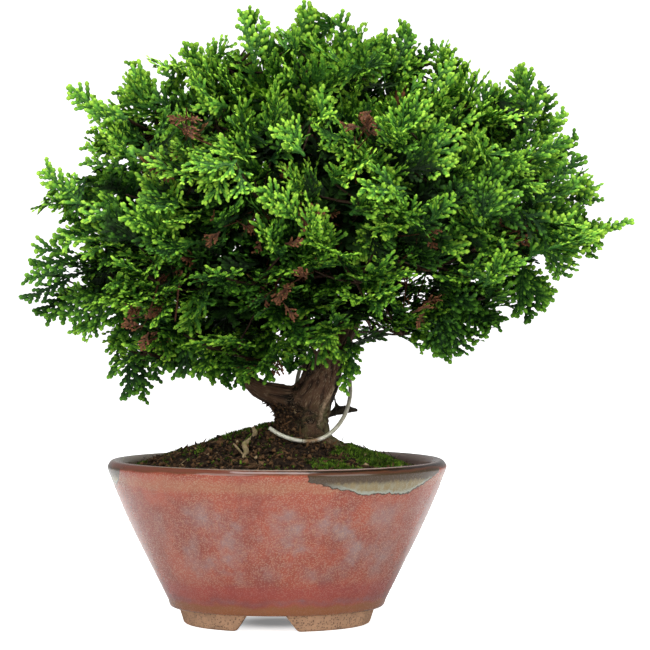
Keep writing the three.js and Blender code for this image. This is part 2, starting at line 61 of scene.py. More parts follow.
POT_AXIS = np.array([(pot_low.x + pot_high.x) / 2, (pot_low.y + pot_high.y) / 2, pot_low.z])
RIM_RADIUS = (pot_high.x - pot_low.x) / 2 / MM
POT_HEIGHT = (pot_high.z - pot_low.z) / MM
print(f"pot: {2 * RIM_RADIUS:.0f} mm across, {POT_HEIGHT:.1f} mm high, axis at {POT_AXIS.round(4)} m")

# %% [markdown]
# ## Two tools that every piece needs
#
# Natural things are never smooth, so most meshes below are pushed in and out by noise. Blender has
# noise of its own, but it takes one point at a time. A lattice noise in numpy is a dozen lines and
# works on all the points of a mesh at once: random values sit on the corners of a grid of cubes, and
# each point blends the eight round it.

# %% Lattice noise
SEED = 7


def lattice_noise(points, seed=0):
    """Smooth noise from -1 to 1, one value to a point, with bumps about one unit apart."""
    points = np.asarray(points, float)
    cell = np.floor(points).astype(np.int64)
    part = points - cell
    part = part * part * (3 - 2 * part)
    total = np.zeros(len(points))
    for corner in range(8):
        step = np.array([corner & 1, corner >> 1 & 1, corner >> 2 & 1])
        at = cell + step
        mixed = at[:, 0] * 73856093 ^ at[:, 1] * 19349663 ^ at[:, 2] * 83492791 ^ (seed + SEED) * 2654435761
        mixed = (mixed ^ (mixed >> 13)) * 1274126177
        value = ((mixed ^ (mixed >> 16)) & 0xFFFFF) / 0xFFFFF * 2 - 1
        total += value * np.prod(np.where(step, part, 1 - part), axis=1)
    return total


def layered_noise(points, octaves=3, seed=0):
    """Noise with finer and weaker layers on top, from about -1 to 1."""
    points = np.asarray(points, float)
    layers = [lattice_noise(points * 2**k, seed + k) / 2**k for k in range(octaves)]
    return sum(layers) / sum(0.5**k for k in range(octaves))


print("noise at three points:", layered_noise(np.array([[0.5, 0, 0], [3.2, 1, 0], [9.9, 4, 2]])).round(2))

# %% [markdown]
# The second tool makes a piece out of arrays of points and faces. Filling a mesh with `foreach_set`
# is many times quicker than adding faces one by one, which matters for a crown with hundreds of
# thousands of them.

# %% Make a piece from arrays


def new_piece(name, points, faces, material, slot, stands_for=(), uv=None):
    """A smooth-shaded piece from points in millimetres round the pot's axis, tied to the frame's root body.
    faces is an array of faces with the same number of corners, or a list of such arrays."""
    points = np.asarray(points, float) * MM + POT_AXIS
    groups = faces if isinstance(faces, list) else [faces]
    corners = np.concatenate([group.ravel() for group in groups]).astype(np.int32)
    sizes = np.concatenate([np.full(len(group), group.shape[1]) for group in groups])
    mesh = bpy.data.meshes.new(name)
    mesh.vertices.add(len(points))
    mesh.vertices.foreach_set("co", points.astype(np.float32).ravel())
    mesh.loops.add(len(corners))
    mesh.loops.foreach_set("vertex_index", corners)
    mesh.polygons.add(len(sizes))
    mesh.polygons.foreach_set("loop_start", (np.cumsum(sizes) - sizes).astype(np.int32))
    if uv is not None:
        layer = mesh.uv_layers.new(name="OFBake")
        layer.uv.foreach_set("vector", np.asarray(uv, np.float32)[corners].ravel())
    mesh.update(calc_edges=True)
    mesh.shade_smooth()
    mesh.materials.append(material)
    piece = bpy.data.objects.new(name, mesh)
    bpy.context.scene.collection.objects.link(piece)
    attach(piece, "root")
    if stands_for:
        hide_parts(*stands_for)
    return piece


def grid_faces(rows, columns, wrap=True):
    """The four-sided faces of a grid of points laid out row by row, closed round if wrap is set."""
    steps = columns if wrap else columns - 1
    row, column = np.meshgrid(np.arange(rows - 1) * columns, np.arange(steps), indexing="ij")
    after = (column + 1) % columns
    corners = [row + column, row + after, row + columns + after, row + columns + column]
    return np.stack([c.ravel() for c in corners], axis=1)


def end_caps(rings, sides):
    """The triangles that close both ends of a tube. The two middle points follow the points of its rings."""
    around = np.arange(sides)
    after, last, middle = (around + 1) % sides, sides * (rings - 1), sides * rings
    first_cap = np.stack([np.full(sides, middle), after, around], axis=1)
    last_cap = np.stack([np.full(sides, middle + 1), last + around, last + after], axis=1)
    return np.concatenate([first_cap, last_cap])


def mark_points(piece, name, values):
    """Stores a number or a vector for each point of a piece, for its material to read."""
    kind, key = ("FLOAT", "value") if values.ndim == 1 else ("FLOAT_VECTOR", "vector")
    marks = piece.data.attributes.new(name, kind, "POINT")
    marks.data.foreach_set(key, values.astype(np.float32).ravel())


def joined_parts(parts):
    """Several (points, faces) as one."""
    points, faces, first = [], [], 0
    for part_points, part_faces in parts:
        points.append(part_points)
        faces.append(part_faces + first)
        first += len(part_points)
    return np.concatenate(points), np.concatenate(faces)


def unit_rows(rows):
    return rows / np.linalg.norm(rows, axis=1, keepdims=True)


def ring_arms(line, hint, sides):
    """Unit arms round each point of a line, square to it. The line never runs along the hint."""
    along = unit_rows(np.gradient(line, axis=0))
    side = unit_rows(np.cross(along, hint))
    other = np.cross(along, side)
    turn = np.linspace(0, 2 * math.pi, sides, endpoint=False)
    return side[:, None] * np.cos(turn)[None, :, None] + other[:, None] * np.sin(turn)[None, :, None]


print("a 3 by 4 closed grid has", len(grid_faces(3, 4)), "faces")

# %% [markdown]
# ## Shared surface effects
#
# Three effects turn up on several finishes. Clay, glaze and soil are all mottled by slow noise. Clay,
# glaze and bark carry specks. Bark, roots and clay have a grain that runs one way. Each effect is a
# node group with its own inputs, built once and set differently in each material.

# %% Node helpers


def feed(tree, socket, given):
    """Fills one input, with a value or from another node's socket."""
    if isinstance(given, bpy.types.NodeSocket):
        tree.links.new(given, socket)
    else:
        socket.default_value = given


def fill(tree, node, **inputs):
    """Fills inputs of a node by name, with _ for a blank, or by number as i0, i1 and so on."""
    for key, given in inputs.items():
        numbered = key[0] == "i" and key[1:].isdigit()
        feed(tree, node.inputs[int(key[1:]) if numbered else key.replace("_", " ")], given)


def add_node(tree, kind, settings=None, **inputs):
    """A new node with some of its settings and inputs filled in."""
    node = tree.nodes.new(kind)
    for key, value in (settings or {}).items():
        setattr(node, key, value)
    fill(tree, node, **inputs)
    return node


def maths(tree, operation, a, b=0.0, c=0.0, clamp=False):
    """The result of one sum on two or three numbers or sockets."""
    settings = {"operation": operation, "use_clamp": clamp}
    return add_node(tree, "ShaderNodeMath", settings, i0=a, i1=b, i2=c).outputs[0]


def times(tree, a, b):
    return maths(tree, "MULTIPLY", a, b)


def times_plus(tree, a, b, c, clamp=False):
    """a times b, plus c."""
    return maths(tree, "MULTIPLY_ADD", a, b, c, clamp)


def wobbled(tree, measure, noise, swing, clamp=False):
    """A measure moved up and down by a noise that runs from 0 to 1."""
    return times_plus(tree, maths(tree, "SUBTRACT", noise, 0.5), swing, measure, clamp)


def rise(tree, value, low, high):
    """0 below low and 1 above high, with a soft rise between. The two may be given the other way round."""
    settings = {"interpolation_type": "SMOOTHSTEP"}
    return add_node(tree, "ShaderNodeMapRange", settings, Value=value, From_Min=low, From_Max=high).outputs[0]


def between(tree, value, low, high, soft):
    """1 where a value lies between two others, with soft ends."""
    start = rise(tree, value, low - soft, low + soft)
    return times(tree, start, rise(tree, value, high + soft, high - soft))


def blend(tree, share, a, b):
    """One colour laid over another by a share from 0 to 1."""
    a, b = ((*given, 1) if isinstance(given, tuple) else given for given in (a, b))
    settings = {"data_type": "RGBA", "clamp_factor": True}
    return add_node(tree, "ShaderNodeMix", settings, i0=share, i6=a, i7=b).outputs[2]


def scaled(tree, vector, x, y, z):
    """A vector stretched by its own share along each axis."""
    settings = {"operation": "MULTIPLY"}
    return add_node(tree, "ShaderNodeVectorMath", settings, i0=vector, i1=(x, y, z)).outputs[0]


def cloud_noise(tree, vector, scale, detail):
    return add_node(tree, "ShaderNodeTexNoise", Vector=vector, Scale=scale, Detail=detail).outputs[0]


def position(tree):
    return add_node(tree, "ShaderNodeNewGeometry").outputs["Position"]


def stored(tree, name, output="Fac"):
    """A value that the mesh holds for each of its points."""
    return add_node(tree, "ShaderNodeAttribute", {"attribute_name": name}).outputs[output]


def new_material(name):
    """An empty material with a Principled shader, as (material, tree, shader)."""
    material = bpy.data.materials.new(name)
    material.use_nodes = True
    tree = material.node_tree
    return material, tree, tree.nodes["Principled BSDF"]


def rough_up(tree, shader, height, distance_mm, strength=1.0):
    """Presses a height pattern into a shader's surface."""
    bump = add_node(tree, "ShaderNodeBump", Strength=strength, Distance=distance_mm * MM, Height=height)
    fill(tree, shader, Normal=bump.outputs[0])


# %% The effect groups
PER_METRE = 1 / MM


def start_group(name, inputs, outputs):
    """A node group with float or vector inputs, given as {name: default or None}, and float outputs."""
    group = bpy.data.node_groups.new(name, "ShaderNodeTree")
    for key, default in inputs.items():
        kind = "NodeSocketVector" if default is None else "NodeSocketFloat"
        socket = group.interface.new_socket(name=key, in_out="INPUT", socket_type=kind)
        if default is not None:
            socket.default_value = default
    for key in outputs:
        group.interface.new_socket(name=key, in_out="OUTPUT", socket_type="NodeSocketFloat")
    return group, group.nodes.new("NodeGroupInput").outputs, group.nodes.new("NodeGroupOutput")


def mottle_group():
    """Soft, uneven patches: a slow noise and a finer one that frays its edges."""
    inputs = {"Vector": None, "Size mm": 10.0, "Fray": 0.4, "Coverage": 0.5, "Softness": 0.2}
    group, given, result = start_group("Mottle", inputs, ["Mask"])
    pitch = maths(group, "DIVIDE", PER_METRE, given["Size mm"])
    slow = cloud_noise(group, given["Vector"], pitch, 2.0)
    fine = cloud_noise(group, given["Vector"], times(group, pitch, 5.0), 4.0)
    frayed = wobbled(group, slow, fine, given["Fray"])
    edge = maths(group, "SUBTRACT", 1.0, given["Coverage"])
    low = maths(group, "SUBTRACT", edge, given["Softness"])
    high = maths(group, "ADD", edge, given["Softness"])
    fill(group, result, Mask=rise(group, frayed, low, high))
    return group


def speckle_group():
    """Round specks of one size, scattered, with only some of the places filled."""
    inputs = {"Vector": None, "Spacing mm": 2.0, "Speck": 0.3, "Share": 0.5}
    group, given, result = start_group("Speckle", inputs, ["Mask"])
    pitch = maths(group, "DIVIDE", PER_METRE, given["Spacing mm"])
    cells = add_node(group, "ShaderNodeTexVoronoi", Vector=given["Vector"], Scale=pitch)
    speck = rise(group, cells.outputs["Distance"], given["Speck"], times(group, given["Speck"], 0.5))
    pick = add_node(group, "ShaderNodeSeparateColor", Color=cells.outputs["Color"])
    kept = maths(group, "LESS_THAN", pick.outputs[0], given["Share"])
    fill(group, result, Mask=times(group, speck, kept))
    return group


def grain_group():
    """Fibres that run along the third axis of the vector they are given, with a height to press them in."""
    inputs = {"Vector": None, "Width mm": 1.0, "Contrast": 1.0}
    group, given, result = start_group("Grain", inputs, ["Value", "Height"])
    pitch = maths(group, "DIVIDE", 1.0, given["Width mm"])
    place = given["Vector"]
    fibres = add_node(group, "ShaderNodeTexNoise", Vector=place, Scale=pitch, Detail=5.0, Roughness=0.6)
    settings = {"noise_type": "RIDGED_MULTIFRACTAL"}
    wide = times(group, pitch, 0.4)
    cracks = add_node(group, "ShaderNodeTexNoise", settings, Vector=place, Scale=wide, Detail=3.0)
    value = wobbled(group, 0.5, fibres.outputs[0], given["Contrast"], clamp=True)
    height = times_plus(group, maths(group, "MINIMUM", cracks.outputs[0], 1.0), -0.5, fibres.outputs[0])
    fill(group, result, Value=value, Height=height)
    return group


MOTTLE, SPECKLE, GRAIN = mottle_group(), speckle_group(), grain_group()


def effect(tree, group, vector, **values):
    """Places one of the effect groups in a material, with its own values."""
    node = tree.nodes.new("ShaderNodeGroup")
    node.node_tree = group
    fill(tree, node, Vector=vector, **values)
    return node.outputs[0] if len(node.outputs) == 1 else node.outputs


def mottled(tree, place, size, coverage, softness, fray=0.4):
    """Patches of a size in millimetres."""
    return effect(tree, MOTTLE, place, Size_mm=size, Coverage=coverage, Softness=softness, Fray=fray)


def speckled(tree, place, spacing, speck, share):
    """Specks at a spacing in millimetres."""
    return effect(tree, SPECKLE, place, Spacing_mm=spacing, Speck=speck, Share=share)


print("effect groups:", [group.name for group in (MOTTLE, SPECKLE, GRAIN)])

# %% [markdown]
# ## The pot
#
# The pot was thrown on a wheel: a straight-sided cone with a rolled lip. A turned outline could be
# spun with the Screw modifier, but the wall of a thrown pot is not quite true. So the outline is swept
# round by hand, and each point is pushed by low waves, by the faint rings that fingers leave, and by
# a little noise.

# %% The bowl's outline
BOWL_SIDES = 192
WALL = 5.5
UNDERSIDE = 7.5
FLOOR_TOP = 13.5
DRAIN_RADIUS = 7.0
FOOT_TOP_RADIUS = 43.7

# Radius and height of the outer wall, from its lower corner to the shoulder under the lip.
OUTER_WALL = [(47.3, 8.9), (50.9, 16), (55.6, 25.3), (61.3, 36.8), (66.7, 48.3), (71.6, 59.8), (74.3, 67)]


def wall_radius(height):
    """Radius of the outer wall at a height."""
    return np.interp(height, [z for _, z in OUTER_WALL], [r for r, _ in OUTER_WALL])


def arc(centre, radius_r, radius_z, start, end, count):
    """Points on part of an ellipse, between two angles in degrees."""
    turn = np.radians(np.linspace(start, end, count))
    return [(centre[0] + radius_r * math.cos(a), centre[1] + radius_z * math.sin(a)) for a in turn]


def bowl_outline():
    """Radius and height all round the section of the bowl, starting at the drain hole's lower edge."""
    corner = arc((46.0, 10.2), 1.9, 2.7, -90, -20, 6)
    outside = [(wall_radius(z), z) for z in np.linspace(10.6, 66.5, 44)]
    lip = arc((RIM_RADIUS - 3.1, POT_HEIGHT - 3.3), 3.1, 3.3, -5, 180, 15)
    inside = [(wall_radius(z) - WALL, z) for z in np.linspace(66, 17, 18)]
    floor = [(44.0, 14.2), (40.0, FLOOR_TOP), (24.0, FLOOR_TOP), (DRAIN_RADIUS + 0.8, FLOOR_TOP)]
    hole = [(DRAIN_RADIUS, FLOOR_TOP - 0.8), (DRAIN_RADIUS, UNDERSIDE + 0.8), (DRAIN_RADIUS + 0.8, UNDERSIDE)]
    base = [(20, UNDERSIDE), (31, UNDERSIDE), (39, UNDERSIDE), (FOOT_TOP_RADIUS + 0.8, UNDERSIDE)]
    return np.array(hole[1:] + base + corner + outside + lip + inside + floor + hole[:1])


print("points in the outline:", len(bowl_outline()))

# %% Sweep the bowl


def thrown(outline, sides):
    """Spins an outline, and makes it as uneven as a hand-thrown wall."""
    turn = np.linspace(0, 2 * math.pi, sides, endpoint=False)
    radius, height = (np.repeat(column[:, None], sides, axis=1) for column in outline.T)
    turn = np.repeat(turn[None, :], len(outline), axis=0)
    rings = 0.10 * np.sin(height * 2.1 + 0.5 * np.sin(turn)) * (height > 12)
    waves = 0.22 * np.sin(2 * turn + 1.0) + 0.12 * np.sin(3 * turn + height * 0.03)
    lift = 0.18 * np.sin(2 * turn + 0.4) * (height / POT_HEIGHT) ** 4
    radius = radius + (rings + waves) * (radius > DRAIN_RADIUS + 2)
    points = np.stack([radius * np.cos(turn), radius * np.sin(turn), height + lift], axis=-1).reshape(-1, 3)
    bumps = 0.12 * layered_noise(points / 7, 3, seed=1)
    points[:, :2] *= 1 + (bumps / np.maximum(np.hypot(points[:, 0], points[:, 1]), 20))[:, None]
    return points


bowl_points = thrown(bowl_outline(), BOWL_SIDES)
bowl_faces = grid_faces(len(bowl_outline()) + 1, BOWL_SIDES) % len(bowl_points)
print("bowl faces:", len(bowl_faces))

# %% [markdown]
# The foot ring was cut with a knife into three feet while the clay was soft. Each foot is a bar bent
# round the pot, so it can be swept like a loaf: a rounded section, carried from one cut to the next.
# The cuts slope, so how far round a foot reaches depends on the height. Near each end the section
# shrinks a little, and that rounds the edges as a wet sponge does.

# %% The three feet
FOOT_COUNT = 3
FIRST_CUT = math.radians(-5.8)
CUT_HALF_TOP, CUT_HALF_BOTTOM = 8.5, 13.6
FOOT_STEPS = 40
SPONGED = 1.3  # how far the rounding of an end reaches


def foot_section():
    """Radius and height round the section of a foot, as a closed ring."""
    inner, outer = 33.2, 41.6
    lower = arc((inner + 1.4, 1.4), 1.4, 1.4, 180, 270, 5) + arc((outer - 1.6, 1.5), 1.6, 1.5, -90, -10, 6)
    side = [(42.2, 3.2), (42.8, 5.0), (43.3, 6.6), (43.7, 8.4)]
    return np.array(lower + side + [(38, 8.6), (33, 8.4), (32.8, 5.5), (33.0, 3.0)])


def foot(index):
    """Points of one foot, and its faces, with both ends closed."""
    section = foot_section()
    middle = section.mean(axis=0)
    start = FIRST_CUT + index * 2 * math.pi / FOOT_COUNT - math.pi / 2
    share = (1 - np.cos(np.linspace(0, math.pi, FOOT_STEPS))) / 2
    rows = []
    for s in share:
        reach = min(s, 1 - s) * 60
        shrink = 1 - 0.16 * max(0, 1 - reach / SPONGED) ** 2
        ring = middle + (section - middle) * shrink
        half = CUT_HALF_BOTTOM + (CUT_HALF_TOP - CUT_HALF_BOTTOM) * ring[:, 1] / UNDERSIDE
        gap = np.arcsin(half / ring[:, 0])
        turn = start + gap + s * (2 * math.pi / FOOT_COUNT - 2 * gap)
        rows.append(np.stack([ring[:, 0] * np.cos(turn), ring[:, 0] * np.sin(turn), ring[:, 1]], axis=1))
    points = np.concatenate(rows)
    points = np.concatenate([points, rows[0].mean(axis=0)[None], rows[-1].mean(axis=0)[None]])
    bumps = 0.15 * layered_noise(points / 3, 2, seed=4) * (points[:, 2] > 0.4)
    points[:, 2] = np.maximum(points[:, 2] + bumps, 0)
    return points, grid_faces(FOOT_STEPS, len(section)), end_caps(FOOT_STEPS, len(section))


print("each foot:", len(foot(0)[0]), "points")

# %% [markdown]
# The glaze is the pot's character. It is a glossy salmon red that went on over brown stoneware. It
# has run thin and dark over the lip, broken into a yellowish band below it, pooled in cool grey
# clouds on the wall, and gathered orange-brown above the feet. On the right a second, celadon glaze
# was poured over the rim and ran down a little way. All of this depends on two measures: how high a
# point is, and how far round the pot it lies. So the material works out both from the position, and
# layers its colours by them.

# %% Where a point is on the pot


def pot_measures(tree):
    """Sockets for a point's place from the pot's axis, its height, its distance and its turn."""
    offset = {"operation": "SUBTRACT"}
    centred = add_node(tree, "ShaderNodeVectorMath", offset, i0=position(tree), i1=tuple(POT_AXIS)).outputs[0]
    in_mm = scaled(tree, centred, PER_METRE, PER_METRE, PER_METRE)
    x, y, height = add_node(tree, "ShaderNodeSeparateXYZ", Vector=in_mm).outputs
    turn = times(tree, maths(tree, "ARCTAN2", x, times(tree, y, -1.0)), 180 / math.pi)
    across = maths(tree, "POWER", maths(tree, "ADD", times(tree, x, x), times(tree, y, y)), 0.5)
    return centred, height, across, turn


# %% The glaze

SALMON = (0.262, 0.053, 0.027)
SALMON_DEEP = (0.175, 0.032, 0.019)
BEIGE = (0.30, 0.165, 0.100)
CLOUD = (0.215, 0.150, 0.145)
STRAW = (0.29, 0.160, 0.085)
RIM_BROWN = (0.018, 0.008, 0.005)
RIM_LEFT = (0.120, 0.034, 0.020)
RIM_RED = (0.085, 0.028, 0.012)
RIM_PALE = (0.30, 0.215, 0.195)
CRIMSON = (0.215, 0.024, 0.026)
PLUM = (0.16, 0.080, 0.088)
RUST = (0.20, 0.075, 0.025)
INSIDE_LEFT = (0.26, 0.215, 0.165)
INSIDE_RIGHT = (0.34, 0.23, 0.205)
CELADON = (0.185, 0.140, 0.062)
CELADON_DARK = (0.034, 0.015, 0.004)
CELADON_BLUE = (0.25, 0.27, 0.225)
CLAY = (0.50, 0.305, 0.185)
CLAY_DARK = (0.075, 0.040, 0.026)
WALL_SLOPE = (OUTER_WALL[-1][0] - OUTER_WALL[0][0]) / (OUTER_WALL[-1][1] - OUTER_WALL[0][1])
POUR_BOTTOM = 60.6  # where the poured glaze stops, in mm above the table
POUR_LEFT, POUR_RIGHT = 11.2, 71.5  # and its ends, in degrees to the right of the front
SMALL_POUR_TURN, SMALL_POUR_BOTTOM = -80.0, 62.8
COAT = 0.18


def paint_glaze(tree, place, height, turn):
    """The colour of the glaze, with the mask of its flecks and the slow noise that its edges follow."""
    slow = mottled(tree, place, 20.0, 0.5, 0.2, 0.5)
    clouds = mottled(tree, place, 13.0, 0.42, 0.14, 0.25)
    wisps = mottled(tree, place, 5.0, 0.42, 0.15)
    dusty = mottled(tree, place, 26.0, 0.62, 0.25, 0.6)
    flecks = speckled(tree, place, 0.52, 0.62, 0.55)
    grains = speckled(tree, place, 0.5, 0.6, 0.4)
    wander = cloud_noise(tree, place, 90.0, 5.0)
    uneven = wobbled(tree, height, wander, 7.0)

    colour = blend(tree, slow, SALMON_DEEP, SALMON)
    body = between(tree, uneven, 24.0, 57.0, 5.0)
    face = rise(tree, maths(tree, "ABSOLUTE", maths(tree, "SUBTRACT", turn, 8.0)), 75.0, 30.0)
    body = times(tree, body, times_plus(tree, face, 0.75, 0.25))
    cloudy = times(tree, body, times_plus(tree, wisps, 0.3, times(tree, clouds, 0.6)))
    colour = blend(tree, cloudy, colour, CLOUD)
    beige = times(tree, flecks, times_plus(tree, dusty, 0.5, 0.3))
    colour = blend(tree, times(tree, beige, rise(tree, uneven, 12.0, 20.0)), colour, BEIGE)
    colour = blend(tree, times(tree, grains, 0.22), colour, CLOUD)

    straw = times(tree, between(tree, uneven, 62.8, 67.6, 1.6), times_plus(tree, flecks, 0.35, 0.3))
    colour = blend(tree, straw, colour, STRAW)
    colour = blend(tree, times(tree, between(tree, uneven, 14.5, 21.0, 2.5), 0.42), colour, CRIMSON)
    dull = times(tree, between(tree, uneven, 12.3, 14.3, 0.9), times_plus(tree, wisps, 0.6, 0.25))
    colour = blend(tree, dull, colour, PLUM)
    colour = blend(tree, times(tree, rise(tree, uneven, 12.6, 10.6), 0.9), colour, RUST)
    return colour, flecks, wander


def pour_depth(tree, place, height, turn, wander):
    """How far inside a pour a point lies, in mm: the large one on the right, or the small one at the left.
    The large one's lower edge sinks slowly from the left, runs level, and climbs again from 52 degrees on."""
    ripple = cloud_noise(tree, place, 420.0, 2.0)
    wiggle = wobbled(tree, wobbled(tree, 0.0, ripple, 2.6), wander, 3.0)
    sinking = times_plus(tree, turn, -0.36, 66.9 + 0.36 * 12.9)
    climbing = times_plus(tree, turn, 0.42, 60.4 - 0.42 * 52.5)
    edge = maths(tree, "MAXIMUM", maths(tree, "MAXIMUM", sinking, climbing), POUR_BOTTOM)
    over = maths(tree, "ADD", maths(tree, "SUBTRACT", height, edge), wiggle)
    from_left = maths(tree, "SUBTRACT", turn, POUR_LEFT)
    from_right = maths(tree, "SUBTRACT", POUR_RIGHT, turn)
    from_end = maths(tree, "MINIMUM", from_left, from_right)
    over = maths(tree, "MINIMUM", over, times_plus(tree, from_end, 1.3, wiggle))
    from_middle = maths(tree, "SUBTRACT", turn, SMALL_POUR_TURN)
    square = times(tree, from_middle, from_middle)
    lobe = times_plus(tree, times(tree, square, square), 0.00012, SMALL_POUR_BOTTOM)
    small = maths(tree, "ADD", maths(tree, "SUBTRACT", height, lobe), wiggle)
    return maths(tree, "MAXIMUM", over, small)


def paint_pour(tree, place, height, turn, wander, colour):
    """Lays the celadon glaze that was poured over the rim on the colour so far."""
    over = pour_depth(tree, place, height, turn, wander)
    streaks = cloud_noise(tree, scaled(tree, place, 1, 1, 0.12), 700.0, 2.0)
    body = blend(tree, rise(tree, streaks, 0.35, 0.7), CELADON, CELADON_BLUE)
    body = blend(tree, 0.35, CELADON, body)
    high = rise(tree, wobbled(tree, height, streaks, 3.0), 64.9, 67.4)
    left_end = rise(tree, wobbled(tree, turn, wander, 8.0), 27.0, 16.0)
    left_end = times(tree, left_end, rise(tree, turn, -30.0, -10.0))
    shaded = maths(tree, "MAXIMUM", high, left_end)
    body = blend(tree, rise(tree, over, 2.2, 0.8), body, CELADON_BLUE)
    body = blend(tree, times(tree, shaded, 0.92), body, CELADON_DARK)
    body = blend(tree, rise(tree, over, 0.75, 0.4), body, CELADON_DARK)
    poured = rise(tree, over, 0.0, 0.2)
    return blend(tree, poured, colour, body), poured


def paint_rim(tree, height, across, turn, wander, flecks, colour):
    """Lays the thin, dark glaze of the lip and the pale glaze of the inside on the colour so far."""
    lip = wobbled(tree, height, wander, 2.0)
    ragged = wobbled(tree, turn, wander, 60.0)
    rim = blend(tree, rise(tree, ragged, -12.0, 22.0), RIM_LEFT, RIM_BROWN)
    colour = blend(tree, times(tree, rise(tree, lip, 69.8, 70.6), 0.85), colour, RIM_RED)
    # The top of the lip at the right is painted paler: partly glaze worn thin, partly a painted highlight
    # where the lip catches the light.
    worn_and_lit_top = times(tree, rise(tree, height, 72.9, 73.8), rise(tree, ragged, 38.0, 70.0))
    rim = blend(tree, times(tree, worn_and_lit_top, 0.7), rim, RIM_PALE)
    colour = blend(tree, rise(tree, lip, 70.8, 71.5), colour, rim)
    inner = blend(tree, rise(tree, turn, -60.0, 60.0), INSIDE_LEFT, INSIDE_RIGHT)
    inner = blend(tree, times(tree, flecks, 0.4), inner, STRAW)
    from_cone = times_plus(tree, height, -WALL_SLOPE, across)
    inside = times(tree, rise(tree, from_cone, 40.0, 39.0), rise(tree, height, 72.9, 72.2))
    return blend(tree, inside, colour, inner)


def glazed_stoneware():
    material, tree, shader = new_material("glazed_stoneware")
    place, height, across, turn = pot_measures(tree)
    colour, flecks, wander = paint_glaze(tree, place, height, turn)
    colour, poured = paint_pour(tree, place, height, turn, wander, colour)
    colour = paint_rim(tree, height, across, turn, wander, flecks, colour)
    pinholes = speckled(tree, place, 16.0, 0.045, 0.35)
    colour = blend(tree, pinholes, colour, RIM_BROWN)

    bare = times(tree, rise(tree, height, 9.2, 8.7), rise(tree, across, 45.4, 44.9))
    grog = speckled(tree, place, 0.8, 0.55, 0.5)
    smudge = mottled(tree, place, 5.0, 0.45, 0.25)
    clay = blend(tree, times(tree, smudge, 0.35), CLAY, CLAY_DARK)
    clay = blend(tree, times(tree, grog, 0.75), clay, CLAY_DARK)
    gloss = times_plus(tree, flecks, 0.12, 0.22)
    gloss = times_plus(tree, rise(tree, height, 69.0, 70.5), -0.10, gloss)
    roughness = times_plus(tree, bare, 0.55, gloss, clamp=True)
    coat = times_plus(tree, bare, -COAT, COAT, clamp=True)
    fill(tree, shader, Base_Color=blend(tree, bare, colour, clay), Roughness=roughness)
    fill(tree, shader, Coat_Weight=coat, Coat_Roughness=0.08, Specular_IOR_Level=0.27)
    pressed = times_plus(tree, wander, 0.6, times(tree, times(tree, grog, bare), 0.5))
    pressed = times_plus(tree, pinholes, -0.8, times_plus(tree, poured, 0.5, pressed))
    rough_up(tree, shader, pressed, 0.35, 0.6)
    return material


glaze = glazed_stoneware()
print("glaze nodes:", len(glaze.node_tree.nodes))

# %% Put the pot together


def make_pot():
    """The bowl and its feet as one mesh."""
    points, faces = [bowl_points], [bowl_faces]
    for index in range(FOOT_COUNT):
        foot_points, sides, ends = foot(index)
        first = sum(len(p) for p in points)
        points.append(foot_points)
        faces += [sides + first, ends + first]
    return np.concatenate(points), faces


def face_outwards(piece):
    """Turns every face of a closed mesh to the outside."""
    edit = bmesh.new()
    edit.from_mesh(piece.data)
    bmesh.ops.recalc_face_normals(edit, faces=edit.faces)
    edit.to_mesh(piece.data)
    edit.free()


pot = new_piece("pot_glazed", *make_pot(), glaze, "glazed_stoneware", ["pot"])
face_outwards(pot)
print("pot:", len(pot.data.polygons), "faces")

# %% [markdown]
# ## The soil
#
# The earth is heaped towards the trunk and meets the wall a little under the lip. A smooth mound
# with a bump texture would look like felt from close by. Real soil is grains, so there is a rough
# mound for the body of it, and on it thousands of small broken crumbs, each a lump with its own turn
# and size.

# %% The height of the soil
SOIL_EDGE = 66.5
SOIL_RISE = 21.6
SOIL_PEAK = (-2.2, 2.0)
SOIL_RADIUS = float(wall_radius(SOIL_EDGE) - WALL)


def soil_height(x, y):
    """Height of the mound at a place in the pot."""
    away = np.hypot(x - SOIL_PEAK[0], y - SOIL_PEAK[1]) / SOIL_RADIUS
    lumps = 0.7 * np.sin(x * 0.21 + 1.3) * np.cos(y * 0.19) + 0.4 * np.sin(x * 0.4 - y * 0.33)
    slope = np.maximum(0, 1 - away)
    return SOIL_EDGE + SOIL_RISE * slope + lumps * np.minimum(1, 3 * (1 - away))


def soil_normal(x, y):
    """The mound's upward direction at a place."""
    step = 0.5
    slope_x = (soil_height(x + step, y) - soil_height(x - step, y)) / (2 * step)
    slope_y = (soil_height(x, y + step) - soil_height(x, y - step)) / (2 * step)
    return unit_rows(np.stack([-slope_x, -slope_y, np.ones_like(slope_x)], axis=1))


print(f"the soil is {soil_height(np.array(0.0), np.array(-60.0)):.1f} mm high near the front lip")

# %% The mound


def mound():
    """A rough top surface of the soil, with a skirt that goes down along the wall."""
    ring_count, spokes = 70, 220
    radius = np.concatenate([np.linspace(1, SOIL_RADIUS + 0.6, ring_count), [SOIL_RADIUS - 1.5]])
    turn = np.linspace(0, 2 * math.pi, spokes, endpoint=False)
    x, y = np.outer(radius, np.cos(turn)), np.outer(radius, np.sin(turn))
    z = soil_height(x, y)
    z[-1] -= 7
    points = np.stack([x, y, z], axis=-1).reshape(-1, 3)
    rough = 1.9 * np.abs(layered_noise(points / 3, 3, seed=11)) + 1.2 * layered_noise(points / 9, 2, seed=12)
    points[:, 2] += rough - 1.1
    middle = points[:spokes].mean(axis=0)
    around = np.arange(spokes)
    fan = np.stack([around, (around + 1) % spokes, np.full(spokes, len(points))], axis=1)
    return np.concatenate([points, middle[None]]), [grid_faces(len(radius), spokes), fan]


print("mound:", len(mound()[0]), "points")

# %% Crumbs and threads
LUMP_KINDS = 16
THREAD_HINT = (0.31, 0.17, 0.94)


